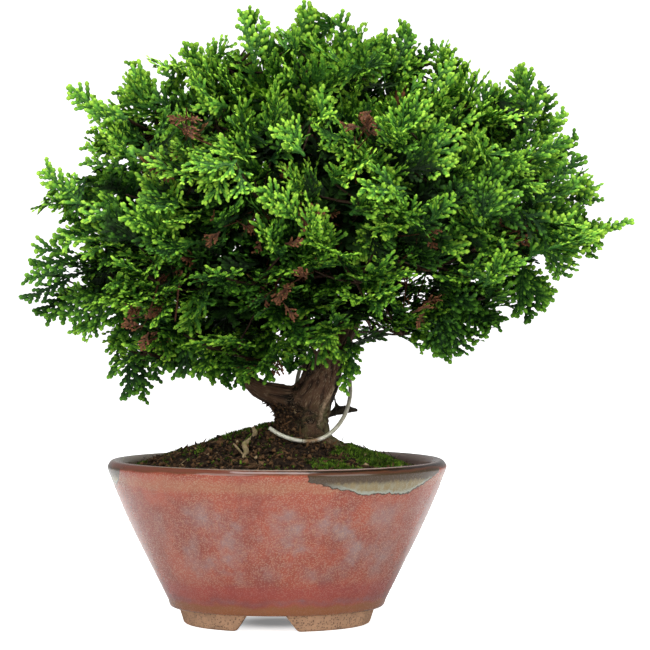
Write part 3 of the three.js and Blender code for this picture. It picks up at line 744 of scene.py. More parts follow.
def lump_shapes(count, rng):
    """A few broken crumbs of unit size: eight faces, with the corners pushed in and out."""
    corners = np.concatenate([np.eye(3), -np.eye(3)])
    faces = np.array([(0, 1, 2), (1, 3, 2), (3, 4, 2), (4, 0, 2), (1, 0, 5), (3, 1, 5), (4, 3, 5), (0, 4, 5)])
    return [corners * (1 + 0.45 * rng.uniform(-1, 1, (6, 1))) for _ in range(count)], faces


def turned(points, rng):
    """Points turned to a random position."""
    axis = rng.normal(size=3)
    return points @ np.array(Matrix.Rotation(rng.uniform(0, 6.28), 3, Vector(axis).normalized()))


def scattered_places(count, rng, reach=SOIL_RADIUS - 1):
    """Random places on the mound, as x and y."""
    radius = reach * np.sqrt(rng.uniform(0.0, 1, count))
    turn = rng.uniform(0, 2 * math.pi, count)
    return radius * np.cos(turn), radius * np.sin(turn)


def crumbs(places, rng, smallest, largest):
    """Loose crumbs and splinters at the given places, as points, faces and a tone for each point."""
    shapes, faces = lump_shapes(LUMP_KINDS, rng)
    points, all_faces, tones = [], [], []
    for index, place in enumerate(places):
        size = smallest + (largest - smallest) * rng.random() ** 4
        stretch = (2.4, 0.5, 0.5) if index % 3 == 0 else (1, 1, 0.8)
        lump = turned(shapes[index % len(shapes)] * stretch * size, rng)
        points.append(lump + place)
        all_faces.append(faces + index * len(lump))
        tones.append(np.full(len(lump), rng.random()))
    return np.concatenate(points), np.concatenate(all_faces), np.concatenate(tones)


def swept_thread(path, radius, sides=3):
    """A fine tube along a path, as points and faces, pointed at its far end."""
    path = np.asarray(path, float)
    taper = radius * np.linspace(1, 0.35, len(path)) if np.isscalar(radius) else np.asarray(radius)
    arms = ring_arms(path, THREAD_HINT, sides) * taper[:, None, None]
    return (path[:, None] + arms).reshape(-1, 3), grid_faces(len(path), sides)


def root_threads(count, rng):
    """Fine roots and bits of stem that lie over the soil. Every eighth one sticks up out of it."""
    parts, tones = [], []
    xs, ys = scattered_places(count, rng, SOIL_RADIUS - 3)
    for index, (x, y) in enumerate(zip(xs, ys)):
        length, turn = rng.uniform(2, 8), rng.uniform(0, 2 * math.pi)
        step = np.linspace(0, 1, 6)
        curl = turn + rng.normal() * 0.6 * step
        px, py = x + np.cumsum(np.cos(curl)) * length / 6, y + np.cumsum(np.sin(curl)) * length / 6
        keep = np.minimum(1, (SOIL_RADIUS - 1.5) / np.maximum(np.hypot(px, py), 1))
        px, py = px * keep, py * keep
        hump = rng.uniform(0.3, 2.6) * np.sin(step * math.pi * rng.uniform(0.3, 0.9))
        if index % 8 == 0:
            hump = rng.uniform(2.5, 5.0) * step
        line = np.stack([px, py, soil_height(px, py) + 0.4 + hump], axis=1)
        parts.append(swept_thread(line, rng.uniform(0.08, 0.2)))
        tones.append(np.full(len(parts[-1][0]), rng.random()))
    return *joined_parts(parts), np.concatenate(tones)


print("kinds of crumb:", len(lump_shapes(LUMP_KINDS, np.random.default_rng(SEED))[0]))

# %% The colour of the soil
EARTH_DARK, EARTH_LIGHT = (0.007, 0.004, 0.0025), (0.030, 0.016, 0.008)
DUST, GRIT = (0.11, 0.063, 0.030), (0.20, 0.125, 0.060)
CRUMB_BROWN, CRUMB_PALE = (0.165, 0.085, 0.036), (0.36, 0.26, 0.14)
ROOT_DARK, ROOT_PALE = (0.11, 0.065, 0.030), (0.58, 0.44, 0.24)
ROOT_WORN, ROOT_LICHEN = (0.09, 0.060, 0.024), (0.235, 0.215, 0.065)


def damp_earth():
    material, tree, shader = new_material("damp_earth")
    place = position(tree)
    tone = stored(tree, "crumb_tone")
    damp = mottled(tree, place, 7.0, 0.5, 0.2)
    dust = mottled(tree, place, 1.8, 0.36, 0.1)
    grit = speckled(tree, place, 1.7, 0.42, 0.2)
    colour = blend(tree, damp, EARTH_DARK, EARTH_LIGHT)
    colour = blend(tree, times(tree, dust, 0.5), colour, DUST)
    colour = blend(tree, times(tree, grit, 0.6), colour, GRIT)
    colour = blend(tree, times(tree, rise(tree, tone, 0.4, 0.95), 0.8), colour, CRUMB_BROWN)
    colour = blend(tree, rise(tree, tone, 0.96, 0.99), colour, CRUMB_PALE)
    fill(tree, shader, Base_Color=colour, Roughness=0.9, Specular_IOR_Level=0.2)
    rough_up(tree, shader, cloud_noise(tree, place, 900.0, 4.0), 0.5, 0.8)
    return material


def root_fibre():
    material, tree, shader = new_material("root_fibre")
    place = position(tree)
    worn = mottled(tree, place, 4.0, 0.45, 0.2)
    run = scaled(tree, place, PER_METRE, PER_METRE, 0.25 * PER_METRE)
    fibres = effect(tree, GRAIN, run, Width_mm=0.7, Contrast=1.6)
    colour = blend(tree, fibres[0], ROOT_DARK, ROOT_PALE)
    colour = blend(tree, times(tree, worn, 0.6), colour, ROOT_WORN)
    lichen = mottled(tree, place, 2.6, 0.45, 0.12)
    colour = blend(tree, times(tree, lichen, 0.6), colour, ROOT_LICHEN)
    fill(tree, shader, Base_Color=colour, Roughness=0.8)
    rough_up(tree, shader, fibres[1], 0.25, 0.7)
    return material


earth, fibre = damp_earth(), root_fibre()
print("soil and root nodes:", len(earth.node_tree.nodes), len(fibre.node_tree.nodes))

# %% Lay the soil
CRUMB_COUNT, THREAD_COUNT = 6200, 360
CRUMB_SIZES = (0.35, 1.7)  # smallest and largest, in millimetres
CRUMB_LIFT = 0.45  # how high the middle of a crumb lies over the mound
MOUND_TONE = 0.3

soil_rng = np.random.default_rng(SEED + 1)
mound_points, mound_faces = mound()
crumb_x, crumb_y = scattered_places(CRUMB_COUNT, soil_rng)
crumb_places = np.stack([crumb_x, crumb_y, soil_height(crumb_x, crumb_y) + CRUMB_LIFT], axis=1)
crumb_points, crumb_faces, crumb_tones = crumbs(crumb_places, soil_rng, *CRUMB_SIZES)
soil_points = np.concatenate([mound_points, crumb_points])
soil_faces = mound_faces + [crumb_faces + len(mound_points)]
soil = new_piece("soil_mound", soil_points, soil_faces, earth, "earth", ["soil"])
mark_points(soil, "crumb_tone", np.concatenate([np.full(len(mound_points), MOUND_TONE), crumb_tones]))
thread_points, thread_faces, thread_tones = root_threads(THREAD_COUNT, soil_rng)
threads = new_piece("root_threads", thread_points, thread_faces, earth, "earth")
mark_points(threads, "crumb_tone", thread_tones)
print("soil:", len(soil.data.polygons), "faces;", "threads:", len(threads.data.polygons), "faces")

# %% [markdown]
# ## The surface root
#
# A dead, pale root lies down the slope on the left. It is a short tapered tube, with knots and a
# slight twist, so it is swept along its path with an uneven radius.

# %% A knobbly tube
TUBE_HINT = (0.1, 1.0, 0.05)


def knobbly_tube(path, radii, sides, steps, knot, seed=0, pinch=True):
    """A tube with knots along a path. Its radius runs through the given ones, and pinch rounds its ends."""
    path, radii = np.asarray(path, float), np.asarray(radii, float)
    reach = np.concatenate([[0], np.cumsum(np.linalg.norm(np.diff(path, axis=0), axis=1))])
    at = np.linspace(0, reach[-1], steps)
    line = np.stack([smooth_through(reach, path[:, k], at) for k in range(3)], axis=1)
    radius = np.interp(at, reach, radii)
    if pinch:
        edge = np.minimum(at, reach[-1] - at) / np.maximum(radius, 0.1)
        radius = radius * np.sqrt(np.clip(1 - (1 - np.clip(edge, 0, 1)) ** 2, 0.02, 1))
    arms = ring_arms(line, TUBE_HINT, sides) * radius[:, None, None]
    points = (line[:, None] + arms).reshape(-1, 3)
    points += arms.reshape(-1, 3) * knot * layered_noise(points / 2.2, 3, seed)[:, None]
    return points, grid_faces(steps, sides)


def smooth_through(known, values, at):
    """A smooth curve through known values, like a bent spline."""
    slope = np.gradient(values, known)
    k = np.clip(np.searchsorted(known, at) - 1, 0, len(known) - 2)
    span = known[k + 1] - known[k]
    t = (at - known[k]) / span
    first = (2 * t**3 - 3 * t**2 + 1) * values[k] + (t**3 - 2 * t**2 + t) * span * slope[k]
    return first + (-2 * t**3 + 3 * t**2) * values[k + 1] + (t**3 - t**2) * span * slope[k + 1]


squares = smooth_through(np.arange(3), np.array([0, 1, 4]), np.array([1.5]))
print("the curve through 0, 1 and 4 passes", squares)

# %% Lay the root
SURFACE_ROOT = [
    (-10.6, -8.5, 87.2), (-9.4, -12, 85.4), (-11.2, -18, 82.6),
    (-13.9, -24, 80.2), (-12.9, -30, 77.7), (-14.2, -35.5, 75.4),
]
SURFACE_ROOT_RADII = (0.6, 1.05, 0.8, 1.25, 1.15, 0.5)
DRY_STICK = [(-18.7, -26, 81.0), (-16.8, -29, 79.2), (-14.6, -32.5, 77.0), (-12.0, -37.5, 74.8)]
DRY_STICK_RADII = (0.35, 0.5, 0.4, 0.2)
root_parts = [
    knobbly_tube(SURFACE_ROOT, SURFACE_ROOT_RADII, 16, 60, 0.45, seed=21),
    knobbly_tube(DRY_STICK, DRY_STICK_RADII, 8, 24, 0.2, seed=22),
]
surface_root = new_piece("surface_root_wood", *joined_parts(root_parts), fibre, "pale_root", ["surface_root"])
print("surface root:", len(surface_root.data.polygons), "faces")

# %% [markdown]
# ## The moss
#
# Moss grows in tight cushions. From close by a cushion is a crowd of tiny upright shoots, each with
# a tuft of pointed leaves. A hair particle system would draw them, but hairs don't belong to the mesh.
# So each shoot is three small triangles leaning away from each other, and a bumpy dome below
# them closes the gaps. The dome comes from the cushion's own solid, with its faces cut finer.

# %% The colour of moss
MOSS_DEEP, MOSS_GREEN, MOSS_TIP = (0.028, 0.062, 0.005), (0.105, 0.225, 0.014), (0.30, 0.50, 0.040)
MOSS_GAP_SHADE, MOSS_DEAD = (0.008, 0.011, 0.003), (0.11, 0.066, 0.022)


def velvet_moss():
    material, tree, shader = new_material("velvet_moss")
    place = position(tree)
    patch = mottled(tree, place, 5.5, 0.5, 0.18)
    shoot = mottled(tree, place, 1.1, 0.42, 0.12)
    gaps = mottled(tree, place, 2.4, 0.42, 0.1)
    dying = mottled(tree, place, 11.0, 0.30, 0.08)
    colour = blend(tree, patch, MOSS_DEEP, MOSS_GREEN)
    colour = blend(tree, times(tree, shoot, 0.65), colour, MOSS_TIP)
    # Painted shade: dark patches stand for the shade in the gaps between the shoots.
    colour = blend(tree, times(tree, gaps, 0.9), colour, MOSS_GAP_SHADE)
    colour = blend(tree, times(tree, dying, 0.6), colour, MOSS_DEAD)
    fill(tree, shader, Base_Color=colour, Roughness=0.75, Specular_IOR_Level=0.2)
    rough_up(tree, shader, cloud_noise(tree, place, 1400.0, 3.0), 0.4)
    return material


moss_green = velvet_moss()
print("moss nodes:", len(moss_green.node_tree.nodes))

# %% Grow the cushions
SHOOTS_PER_MM2 = 1.6
SHOOT_HEIGHT, STREWN_HEIGHT = 1.5, 1.3
LEAVES_IN_SHOOT = 3
DOME_SINK = 1.3  # how far the dome lies under the tips of its shoots
STREWN_CLUMPS = 420


def mesh_arrays(node):
    """Points of a frame node in millimetres round the pot's axis, and its triangles."""
    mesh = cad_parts[node].data
    points = np.empty(len(mesh.vertices) * 3)
    mesh.vertices.foreach_get("co", points)
    mesh.calc_loop_triangles()
    triangles = np.empty(len(mesh.loop_triangles) * 3, np.int32)
    mesh.loop_triangles.foreach_get("vertices", triangles)
    return (points.reshape(-1, 3) - POT_AXIS) / MM, triangles.reshape(-1, 3)


def split_finer(points, triangles):
    """Cuts each triangle into four."""
    edges = np.concatenate([triangles[:, pair] for pair in ([0, 1], [1, 2], [2, 0])])
    unique, place = np.unique(np.sort(edges, axis=1), axis=0, return_inverse=True)
    ab, bc, ca = np.split(place.ravel() + len(points), 3)
    a, b, c = triangles.T
    quarters = ((a, ab, ca), (ab, b, bc), (ca, bc, c), (ab, bc, ca))
    points = np.concatenate([points, points[unique].mean(axis=1)])
    return points, np.concatenate([np.stack(corners, axis=1) for corners in quarters])


def shoots(x, y, z, normals, rng, height):
    """Tufts of three pointed leaves, one tuft to each given point."""
    count = len(x)
    root = np.stack([x, y, z], axis=1)
    parts = []
    for leaf in range(LEAVES_IN_SHOOT):
        turn = rng.uniform(0, 2 * math.pi, count) + leaf * 2.1
        lean = np.stack([np.cos(turn), np.sin(turn), np.zeros(count)], axis=1)
        across = np.stack([-np.sin(turn), np.cos(turn), np.zeros(count)], axis=1)
        tall = height * rng.uniform(0.6, 1.3, (count, 1))
        tip = root + normals * tall + lean * tall * rng.uniform(0.2, 0.8, (count, 1))
        wide, foot = across * 0.26 * tall, root - lean * 0.1
        parts.append(np.stack([foot + wide, foot - wide, tip], axis=1))
    points = np.concatenate(parts).reshape(-1, 3)
    return points, np.arange(len(points)).reshape(-1, 3)


def grow_cushion(node, rng):
    """A moss cushion in the place of a frame node: a bumpy dome with shoots all over its top."""
    points, triangles = split_finer(*welded(*mesh_arrays(node)))
    corners = points[triangles]
    facing = np.cross(corners[:, 1] - corners[:, 0], corners[:, 2] - corners[:, 0])
    area = np.linalg.norm(facing, axis=1) / 2
    facing /= np.maximum(np.linalg.norm(facing, axis=1, keepdims=True), 1e-9)
    upper = np.where(facing[:, 2] > 0.3, area, 0)
    count = int(upper.sum() * SHOOTS_PER_MM2)
    chosen = rng.choice(len(triangles), count, p=upper / upper.sum())
    a, b = rng.random(count), rng.random(count)
    over = a + b > 1
    a[over], b[over] = 1 - a[over], 1 - b[over]
    place = corners[chosen, 0] + a[:, None] * (corners[chosen, 1] - corners[chosen, 0])
    place += b[:, None] * (corners[chosen, 2] - corners[chosen, 0])
    place[:, 2] += 0.6 * layered_noise(place / 4.5, 2, seed=33) - DOME_SINK
    patchy = layered_noise(place / 5, 2, seed=31) > -0.3
    place, chosen = place[patchy], chosen[patchy]
    shoot_points, shoot_faces = shoots(*place.T, facing[chosen], rng, SHOOT_HEIGHT)
    lumps = 0.5 * layered_noise(points / 2.0, 2, seed=32) + 0.6 * layered_noise(points / 4.5, 2, seed=33)
    sunk = points - (0, 0, DOME_SINK) + lumps[:, None] * (0, 0, 1)
    parts = [(sunk, triangles), (shoot_points, shoot_faces)]
    return new_piece(node + "_shoots", *joined_parts(parts), moss_green, "moss", [node])


def welded(points, triangles):
    """Joins points that lie in the same place."""
    _, first, same = np.unique(points.round(3), axis=0, return_index=True, return_inverse=True)
    triangles = same.ravel()[triangles]
    whole = (triangles != np.roll(triangles, 1, axis=1)).all(axis=1)
    return points[first], triangles[whole]


moss_rng = np.random.default_rng(SEED + 2)
cushions = [grow_cushion(node, moss_rng) for node in sorted(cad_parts) if node.startswith("moss_")]
print("moss:", {piece.name: len(piece.data.polygons) for piece in cushions})

# %% [markdown]
# Between the cushions the soil carries thin, mixed moss: single shoots and clumps of many sizes, with
# mostly small ones on the front. They are strewn as one more piece.

# %% Strewn moss


def strewn_moss(clumps, rng):
    """Small clumps of shoots scattered over the mound."""
    xs, ys = scattered_places(clumps, rng, SOIL_RADIUS - 3)
    bare_front = (ys < -8) & (xs < 22)
    size = np.where(bare_front & (rng.random(clumps) < 0.85), 0.3, rng.uniform(0.5, 2.9, clumps))
    count = np.maximum(3, (size**2 * 3.2)).astype(int)
    x = np.repeat(xs, count) + rng.normal(size=count.sum()) * np.repeat(size, count) * 0.45
    y = np.repeat(ys, count) + rng.normal(size=count.sum()) * np.repeat(size, count) * 0.45
    inside = np.hypot(x, y) < SOIL_RADIUS - 1
    x, y = x[inside], y[inside]
    return shoots(x, y, soil_height(x, y) - 0.1, soil_normal(x, y), rng, STREWN_HEIGHT)


strewn = new_piece("strewn_moss", *strewn_moss(STREWN_CLUMPS, moss_rng), moss_green, "moss")
print("strewn moss:", len(strewn.data.polygons), "faces")

# %% [markdown]
# ## Trunk, roots and branches
#
# The wood is one grown thing: a trunk that leans right, a heavy limb that forks off to the left, and
# roots that grip the soil. Tubes that just cross each other would show hard seams at the forks. So
# the solid from the frame is copied and wrapped in an even voxel skin. That melts the joints
# together, as grown wood does, and gives an even mesh to carve the bark in.
#
# Bark has a direction. It follows the branch, so each point looks up the nearest centre line and
# measures how far along it lies and which way it faces. Furrows come from noise that changes fast
# round the branch and slowly along it.

# %% Wrap the wood
VOXEL = 1.0
SMOOTHING_ROUNDS = 4


def wrapped(node):
    """A copy of a frame node with an even skin and soft joints, as points, faces and normals."""
    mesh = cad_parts[node].data.copy()
    copy = bpy.data.objects.new(node + "_wrapped", mesh)
    bpy.context.scene.collection.objects.link(copy)
    remesh = copy.modifiers.new("skin", "REMESH")
    remesh.mode = "VOXEL"
    remesh.voxel_size = VOXEL * MM
    soften = copy.modifiers.new("soften", "SMOOTH")
    soften.iterations = SMOOTHING_ROUNDS
    soften.factor = 0.5
    done = bpy.data.meshes.new_from_object(copy.evaluated_get(bpy.context.evaluated_depsgraph_get()))
    points = np.empty(len(done.vertices) * 3)
    done.vertices.foreach_get("co", points)
    corners = np.empty(len(done.loops), np.int32)
    done.loops.foreach_get("vertex_index", corners)
    normals = np.empty(len(done.vertices) * 3)
    done.vertex_normals.foreach_get("vector", normals)
    bpy.data.objects.remove(copy)
    bpy.data.meshes.remove(mesh)
    bpy.data.meshes.remove(done)
    return (points.reshape(-1, 3) - POT_AXIS) / MM, corners.reshape(-1, 4), normals.reshape(-1, 3)


wood_points, wood_faces, wood_normals = wrapped("trunk")
print("wood skin:", len(wood_points), "points")

# %% Centre lines

# Points on the trunk and on the limb, with their radius, in millimetres from the pot's axis.
TRUNK_LINE = [
    (11, 0, 66, 13.5), (12, 0, 79, 13), (11.5, 0, 88, 11.6), (12.8, 0, 96, 10), (17.2, 0, 104, 6.4),
    (21.2, 0, 113, 5), (26.5, 1, 123, 4.8), (32.5, 2, 133, 4.5), (35, 2, 145, 4.4), (32, 1, 160, 4),
    (27, 0, 176, 3.7), (23.5, 0, 194, 3.3), (22, 0, 214, 2.8), (20, 0, 234, 2.3), (19, 0, 256, 1.6),
]
LIMB_LINE = [
    (13, 0, 94, 8), (6, 0, 98.5, 6.8), (-1.2, 0.5, 100.6, 5.5), (-8.8, 2, 103.8, 4), (-14.5, 4, 108.5, 3.6),
    (-23, 5, 117, 3.3), (-34, 5, 128, 3), (-48, 4, 138, 2.6), (-62, 3, 150, 2.1),
]
ROOT_LINES = [
    [(8, -4, 84, 6.5), (-2, -9, 79, 4.4), (-12, -13, 70, 2.4)],
    [(17, -5, 82, 6), (27, -9, 77, 4), (36, -12, 69, 2.2)],
    [(17, 5, 82, 6), (28, 11, 76, 4), (36, 17, 66, 2.2)],
    [(8, 5, 84, 6), (-2, 13, 79, 4.2), (-9, 20, 70, 2.2)],
    [(12, -6, 84, 6), (11, -16, 77, 4), (10, -24, 67, 2.2)],
]


def sampled_line(rows, pitch=1.0):
    """Even samples on a centre line: place, direction, distance along and radius."""
    rows = np.array(rows, float)
    reach = np.concatenate([[0], np.cumsum(np.linalg.norm(np.diff(rows[:, :3], axis=0), axis=1))])
    at = np.arange(0, reach[-1], pitch)
    line = np.stack([smooth_through(reach, rows[:, k], at) for k in range(3)], axis=1)
    return line, unit_rows(np.gradient(line, axis=0)), at, np.interp(at, reach, rows[:, 3])


centre_lines = [sampled_line(rows) for rows in (TRUNK_LINE, LIMB_LINE, *ROOT_LINES)]
line_place, line_along, line_at, line_radius = (np.concatenate(part) for part in zip(*centre_lines))
tree_of_lines = KDTree(len(line_place))
for index, place in enumerate(line_place):
    tree_of_lines.insert(place, index)
tree_of_lines.balance()
print("centre line samples:", len(line_place))

# %% Carve the bark


def bark_grain(points):
    """A vector for each point whose noise runs along the wood, and how thick the wood is there."""
    nearest = np.array([tree_of_lines.find(point)[1] for point in points])
    offset = points - line_place[nearest]
    along = (offset * line_along[nearest]).sum(axis=1)
    offset = offset - along[:, None] * line_along[nearest]
    distance = line_at[nearest] + along
    lost = np.linalg.norm(offset, axis=1) > 2.2 * line_radius[nearest] + 2
    grain = offset + (distance * 0.13)[:, None] * (0.6, 0.5, 0.62)
    grain[lost] = points[lost] * (1, 1, 0.5)
    return grain, np.where(lost, 2.0, line_radius[nearest])


# A strip of bare, pale wood along a raised ridge on the right of the trunk, painted partly as the
# ridge's highlight: x and z along it, from the pot's axis.
BARE_STRIP = [(19.0, 88.0), (20.5, 96.3), (23.6, 102.1), (25.6, 105.5)]
BARE_STRIP_WIDTH = 0.8


def near_strip(points):
    """How close each point on the front of the wood lies to the bare strip, from 0 to 1."""
    height = points[:, 2]
    middle = np.interp(height, [z for _, z in BARE_STRIP], [x for x, _ in BARE_STRIP])
    away = np.abs(points[:, 0] - middle + 0.5 * layered_noise(points / 2.5, 2, seed=46))
    within = (height > BARE_STRIP[0][1]) & (height < BARE_STRIP[-1][1]) & (points[:, 1] < 1)
    return np.clip(1.4 - away / BARE_STRIP_WIDTH, 0, 1) * within


def carve(points, normals):
    """Pushes the wood's skin into furrows, strings and knots."""
    grain, girth = bark_grain(points)
    depth = np.clip(girth / 9, 0.12, 1.0)
    furrows = 1 - 2 * np.abs(layered_noise(grain / 3.4, 3, seed=41))
    strings = layered_noise(grain / 1.3, 2, seed=42)
    swellings = layered_noise(points / 11, 2, seed=43)
    flakes = np.maximum(0, layered_noise(grain / 1.9 + 5, 2, seed=44) - 0.15)
    crust = np.clip((96 - points[:, 2]) / 8, 0, 1) * np.clip((9 - points[:, 0]) / 6, 0, 1)
    lumps = np.abs(layered_noise(points / 2.8, 2, seed=45)) * crust
    relief = 1.6 * (furrows - 0.6) + 0.5 * strings + 1.0 * flakes
    push = (relief + 1.1 * swellings * depth - 0.5) * depth
    limb = np.clip((4 - points[:, 0]) / 8, 0, 1) * (points[:, 2] > 93)
    slimmer = limb * np.where(normals[:, 2] < 0, -1.7 * normals[:, 2], 0.8 * normals[:, 2])
    push = push + 2.6 * (lumps - 0.15 * crust) + 0.6 * near_strip(points) - slimmer
    fork = np.exp(-((points[:, 0] - 8.5) ** 2 + (points[:, 2] - 108) ** 2) / 30)
    push = push - 1.5 * fork
    stub = (points[:, 0] > 24) & (points[:, 2] < 101) & (points[:, 2] > 84)
    return points + normals * push[:, None], grain, np.where(stub, -1, np.clip(0.5 + 0.5 * relief, 0, 1))


carved, grain, relief = carve(wood_points, wood_normals)
print(f"bark relief: {np.abs(carved - wood_points).max():.1f} mm at the deepest")

# %% The colour of the bark
FURROW_DARK_AND_SHADE, BARK = (0.003, 0.002, 0.0015), (0.088, 0.047, 0.025)
BARK_PALE_AND_HIGHLIGHT, BARK_RED = (0.22, 0.150, 0.094), (0.050, 0.020, 0.011)
CAKED_DARK, CAKED_GREEN, BARK_LICHEN = (0.006, 0.005, 0.002), (0.075, 0.078, 0.022), (0.165, 0.150, 0.070)
STUB_DARK, HEARTWOOD_AND_HIGHLIGHT = (0.014, 0.009, 0.007), (0.38, 0.27, 0.17)


def furrowed_bark():
    material, tree, shader = new_material("furrowed_bark")
    place = position(tree)
    run = stored(tree, "bark_grain", "Vector")
    bare = stored(tree, "bare_wood_and_highlight")
    fibres = effect(tree, GRAIN, run, Width_mm=1.5, Contrast=2.6)
    strings = effect(tree, GRAIN, run, Width_mm=0.45, Contrast=2.4)
    patches = mottled(tree, place, 8.0, 0.45, 0.2)
    relief = stored(tree, "bark_relief")
    # Painted shade: where the carved relief is low, in the furrows, the bark is painted near black. The
    # furrows are partly dark in their own right.
    ridge = times_plus(tree, fibres[0], 0.5, times(tree, rise(tree, relief, 0.25, 0.75), 0.5))
    colour = blend(tree, rise(tree, ridge, 0.22, 0.85), FURROW_DARK_AND_SHADE, BARK)
    # The pale strings of the bark are painted partly as highlights on the raised fibres.
    colour = blend(tree, times(tree, rise(tree, strings[0], 0.54, 0.88), 0.75), colour, BARK_PALE_AND_HIGHLIGHT)
    colour = blend(tree, times(tree, patches, 0.4), colour, BARK_RED)
    _, height, _, turn = pot_measures(tree)
    foot = rise(tree, height, 104.0, 84.0)
    crust = mottled(tree, place, 2.6, 0.62, 0.12)
    crusted = times(tree, times(tree, crust, 0.95), rise(tree, turn, 60.0, 10.0))
    colour = blend(tree, times(tree, crusted, rise(tree, height, 98.0, 93.0)), colour, CAKED_DARK)
    green = mottled(tree, place, 4.0, 0.44, 0.12)
    colour = blend(tree, times(tree, times(tree, green, 0.4), foot), colour, CAKED_GREEN)
    lichen = mottled(tree, place, 2.2, 0.52, 0.15)
    lichen = times(tree, times(tree, lichen, 0.75), rise(tree, turn, 60.0, 74.0))
    colour = blend(tree, times(tree, lichen, rise(tree, height, 100.0, 94.0)), colour, BARK_LICHEN)
    colour = blend(tree, times(tree, rise(tree, relief, -0.2, -0.6), 0.85), colour, STUB_DARK)
    # Bare wood on the strip, painted pale partly as a highlight along the ridge.
    exposed_and_lit = times(tree, bare, rise(tree, strings[0], 0.25, 0.55))
    colour = blend(tree, times(tree, exposed_and_lit, 0.8), colour, HEARTWOOD_AND_HIGHLIGHT)
    roughness = times_plus(tree, fibres[0], -0.2, 0.92)
    fill(tree, shader, Base_Color=colour, Roughness=roughness, Specular_IOR_Level=0.2)
    rough_up(tree, shader, times_plus(tree, strings[1], 0.4, fibres[1]), 1.1, 1.0)
    return material


bark = furrowed_bark()
wood = new_piece("trunk_and_branches", carved, wood_faces, bark, "bark", ["trunk"])
mark_points(wood, "bark_grain", grain)
mark_points(wood, "bare_wood_and_highlight", near_strip(wood_points))
mark_points(wood, "bark_relief", relief)
print("wood:", len(wood.data.polygons), "faces")

# %% [markdown]
# The left side of the trunk's foot is caked with old moss and earth. The same broken crumbs as on the
# soil are stuck to the wood there, thickest low down.

# %% Cake the foot of the trunk
CAKED_COUNT = 1100
CAKED_SIZES = (0.5, 1.5)


def caked_places(count, rng):
    """Random places on the wood, low on its left side and above the soil."""
    x, y, z = carved.T
    share = np.clip((98.5 - z) / 5, 0, 1) * np.clip((12 - x) / 8, 0, 1)
    share = share * (y < 8) * (z > soil_height(x, y) - 1)
    return carved[rng.choice(len(carved), count, p=share / share.sum())] + rng.normal(size=(count, 3)) * 0.4


caked = caked_places(CAKED_COUNT, soil_rng)
crust_points, crust_faces, crust_tones = crumbs(caked, soil_rng, *CAKED_SIZES)
crust = new_piece("trunk_crust", crust_points, crust_faces, earth, "earth")
mark_points(crust, "crumb_tone", crust_tones**1.5)
print("crust:", len(crust.data.polygons), "faces")

# %% [markdown]
# ## The training wire
#
# One length of soft wire goes round the foot of the trunk and up behind it. Wire that was bent by
# hand keeps small kinks, and its ends are cut square. So it is a swept tube with many short steps
# and a slightly wandering line, closed at both ends.

# %% Bend the wire
WIRE_RADIUS = 0.9
WIRE_SIDES, WIRE_STEPS = 14, 180
WIRE_DULL, WIRE_BRIGHT, WIRE_SPOTS = (0.46, 0.45, 0.33), (0.72, 0.70, 0.60), (0.20, 0.16, 0.09)
WIRE_RUST, WIRE_RIGHT_DARK = (0.19, 0.090, 0.024), (0.24, 0.205, 0.155)
WIRE_ROUTE = [
    (-3, -17, 87.2), (1.5, -19.5, 84.6), (7, -21, 82.6), (13, -20.5, 81.6), (19, -18.5, 82.4),
    (25, -14, 86), (29.5, -8, 91.5), (32, -1, 98), (32.6, 6, 105), (31, 12, 112),
    (26, 16, 117.5), (19, 16.5, 119.5), (12.5, 15, 116.5), (9.8, 13.6, 111), (8.6, 12.8, 105.5),
]


def bent_wire():
    """The wire as points and faces, with flat cut ends."""
    sides, steps, radii = WIRE_SIDES, WIRE_STEPS, [WIRE_RADIUS] * len(WIRE_ROUTE)
    points, faces = knobbly_tube(WIRE_ROUTE, radii, sides, steps, 0.0, pinch=False)
    kinks = 0.16 * layered_noise(np.repeat(np.arange(steps) / 9.0, sides)[:, None] * (1, 0, 0), 2, seed=51)
    points = points + kinks[:, None] * (0.5, 0.6, 0.6)
    ends = np.stack([points[:sides].mean(axis=0), points[-sides:].mean(axis=0)])
    return np.concatenate([points, ends]), [faces, end_caps(steps, sides)]


def dull_wire():
    material, tree, shader = new_material("dull_wire")
    place = position(tree)
    film = mottled(tree, place, 3.0, 0.5, 0.2)
    scale = speckled(tree, place, 0.7, 0.4, 0.25)
    colour = blend(tree, film, WIRE_DULL, WIRE_BRIGHT)
    colour = blend(tree, times(tree, scale, 0.45), colour, WIRE_SPOTS)
    turn = pot_measures(tree)[3]
    rusty = mottled(tree, place, 1.6, 0.68, 0.15)
    rusty = times(tree, rusty, between(tree, turn, 30.0, 44.0, 4.0))
    colour = blend(tree, times(tree, rusty, 0.9), colour, WIRE_RUST)
    # The wire turns darker and browner round to the right.
    right_side = times(tree, rise(tree, turn, 46.0, 72.0), 0.6)
    colour = blend(tree, right_side, colour, WIRE_RIGHT_DARK)
    fill(tree, shader, Base_Color=colour, Metallic=0.15, Roughness=times_plus(tree, film, 0.15, 0.40))
    rough_up(tree, shader, maths(tree, "ADD", film, scale), 0.08, 0.6)
    return material


wire_finish = dull_wire()
wire = new_piece("training_wire_round", *bent_wire(), wire_finish, "wire", ["training_wire"])
print("wire:", len(wire.data.polygons), "faces")

# %% [markdown]
# The drain mesh and its staple are already the right shape in the frame, so they stay and only get a
# finish: moulded plastic dulled by lime, and the same wire as above.

# %% Finish the drain mesh and its staple
PLASTIC, LIME = (0.012, 0.014, 0.016), (0.10, 0.095, 0.085)


def limed_plastic():
    material, tree, shader = new_material("limed_plastic")
    place = position(tree)
    lime = mottled(tree, place, 4.0, 0.4, 0.15)
    colour = blend(tree, lime, PLASTIC, LIME)
    fill(tree, shader, Base_Color=colour, Roughness=times_plus(tree, lime, 0.35, 0.45))
    rough_up(tree, shader, lime, 0.1, 0.5)
    return material


for node, finish in (("drain_mesh", limed_plastic()), ("mesh_staple", wire_finish)):
    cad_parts[node].data.materials.clear()
    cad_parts[node].data.materials.append(finish)
    print(node, "has", finish.name)

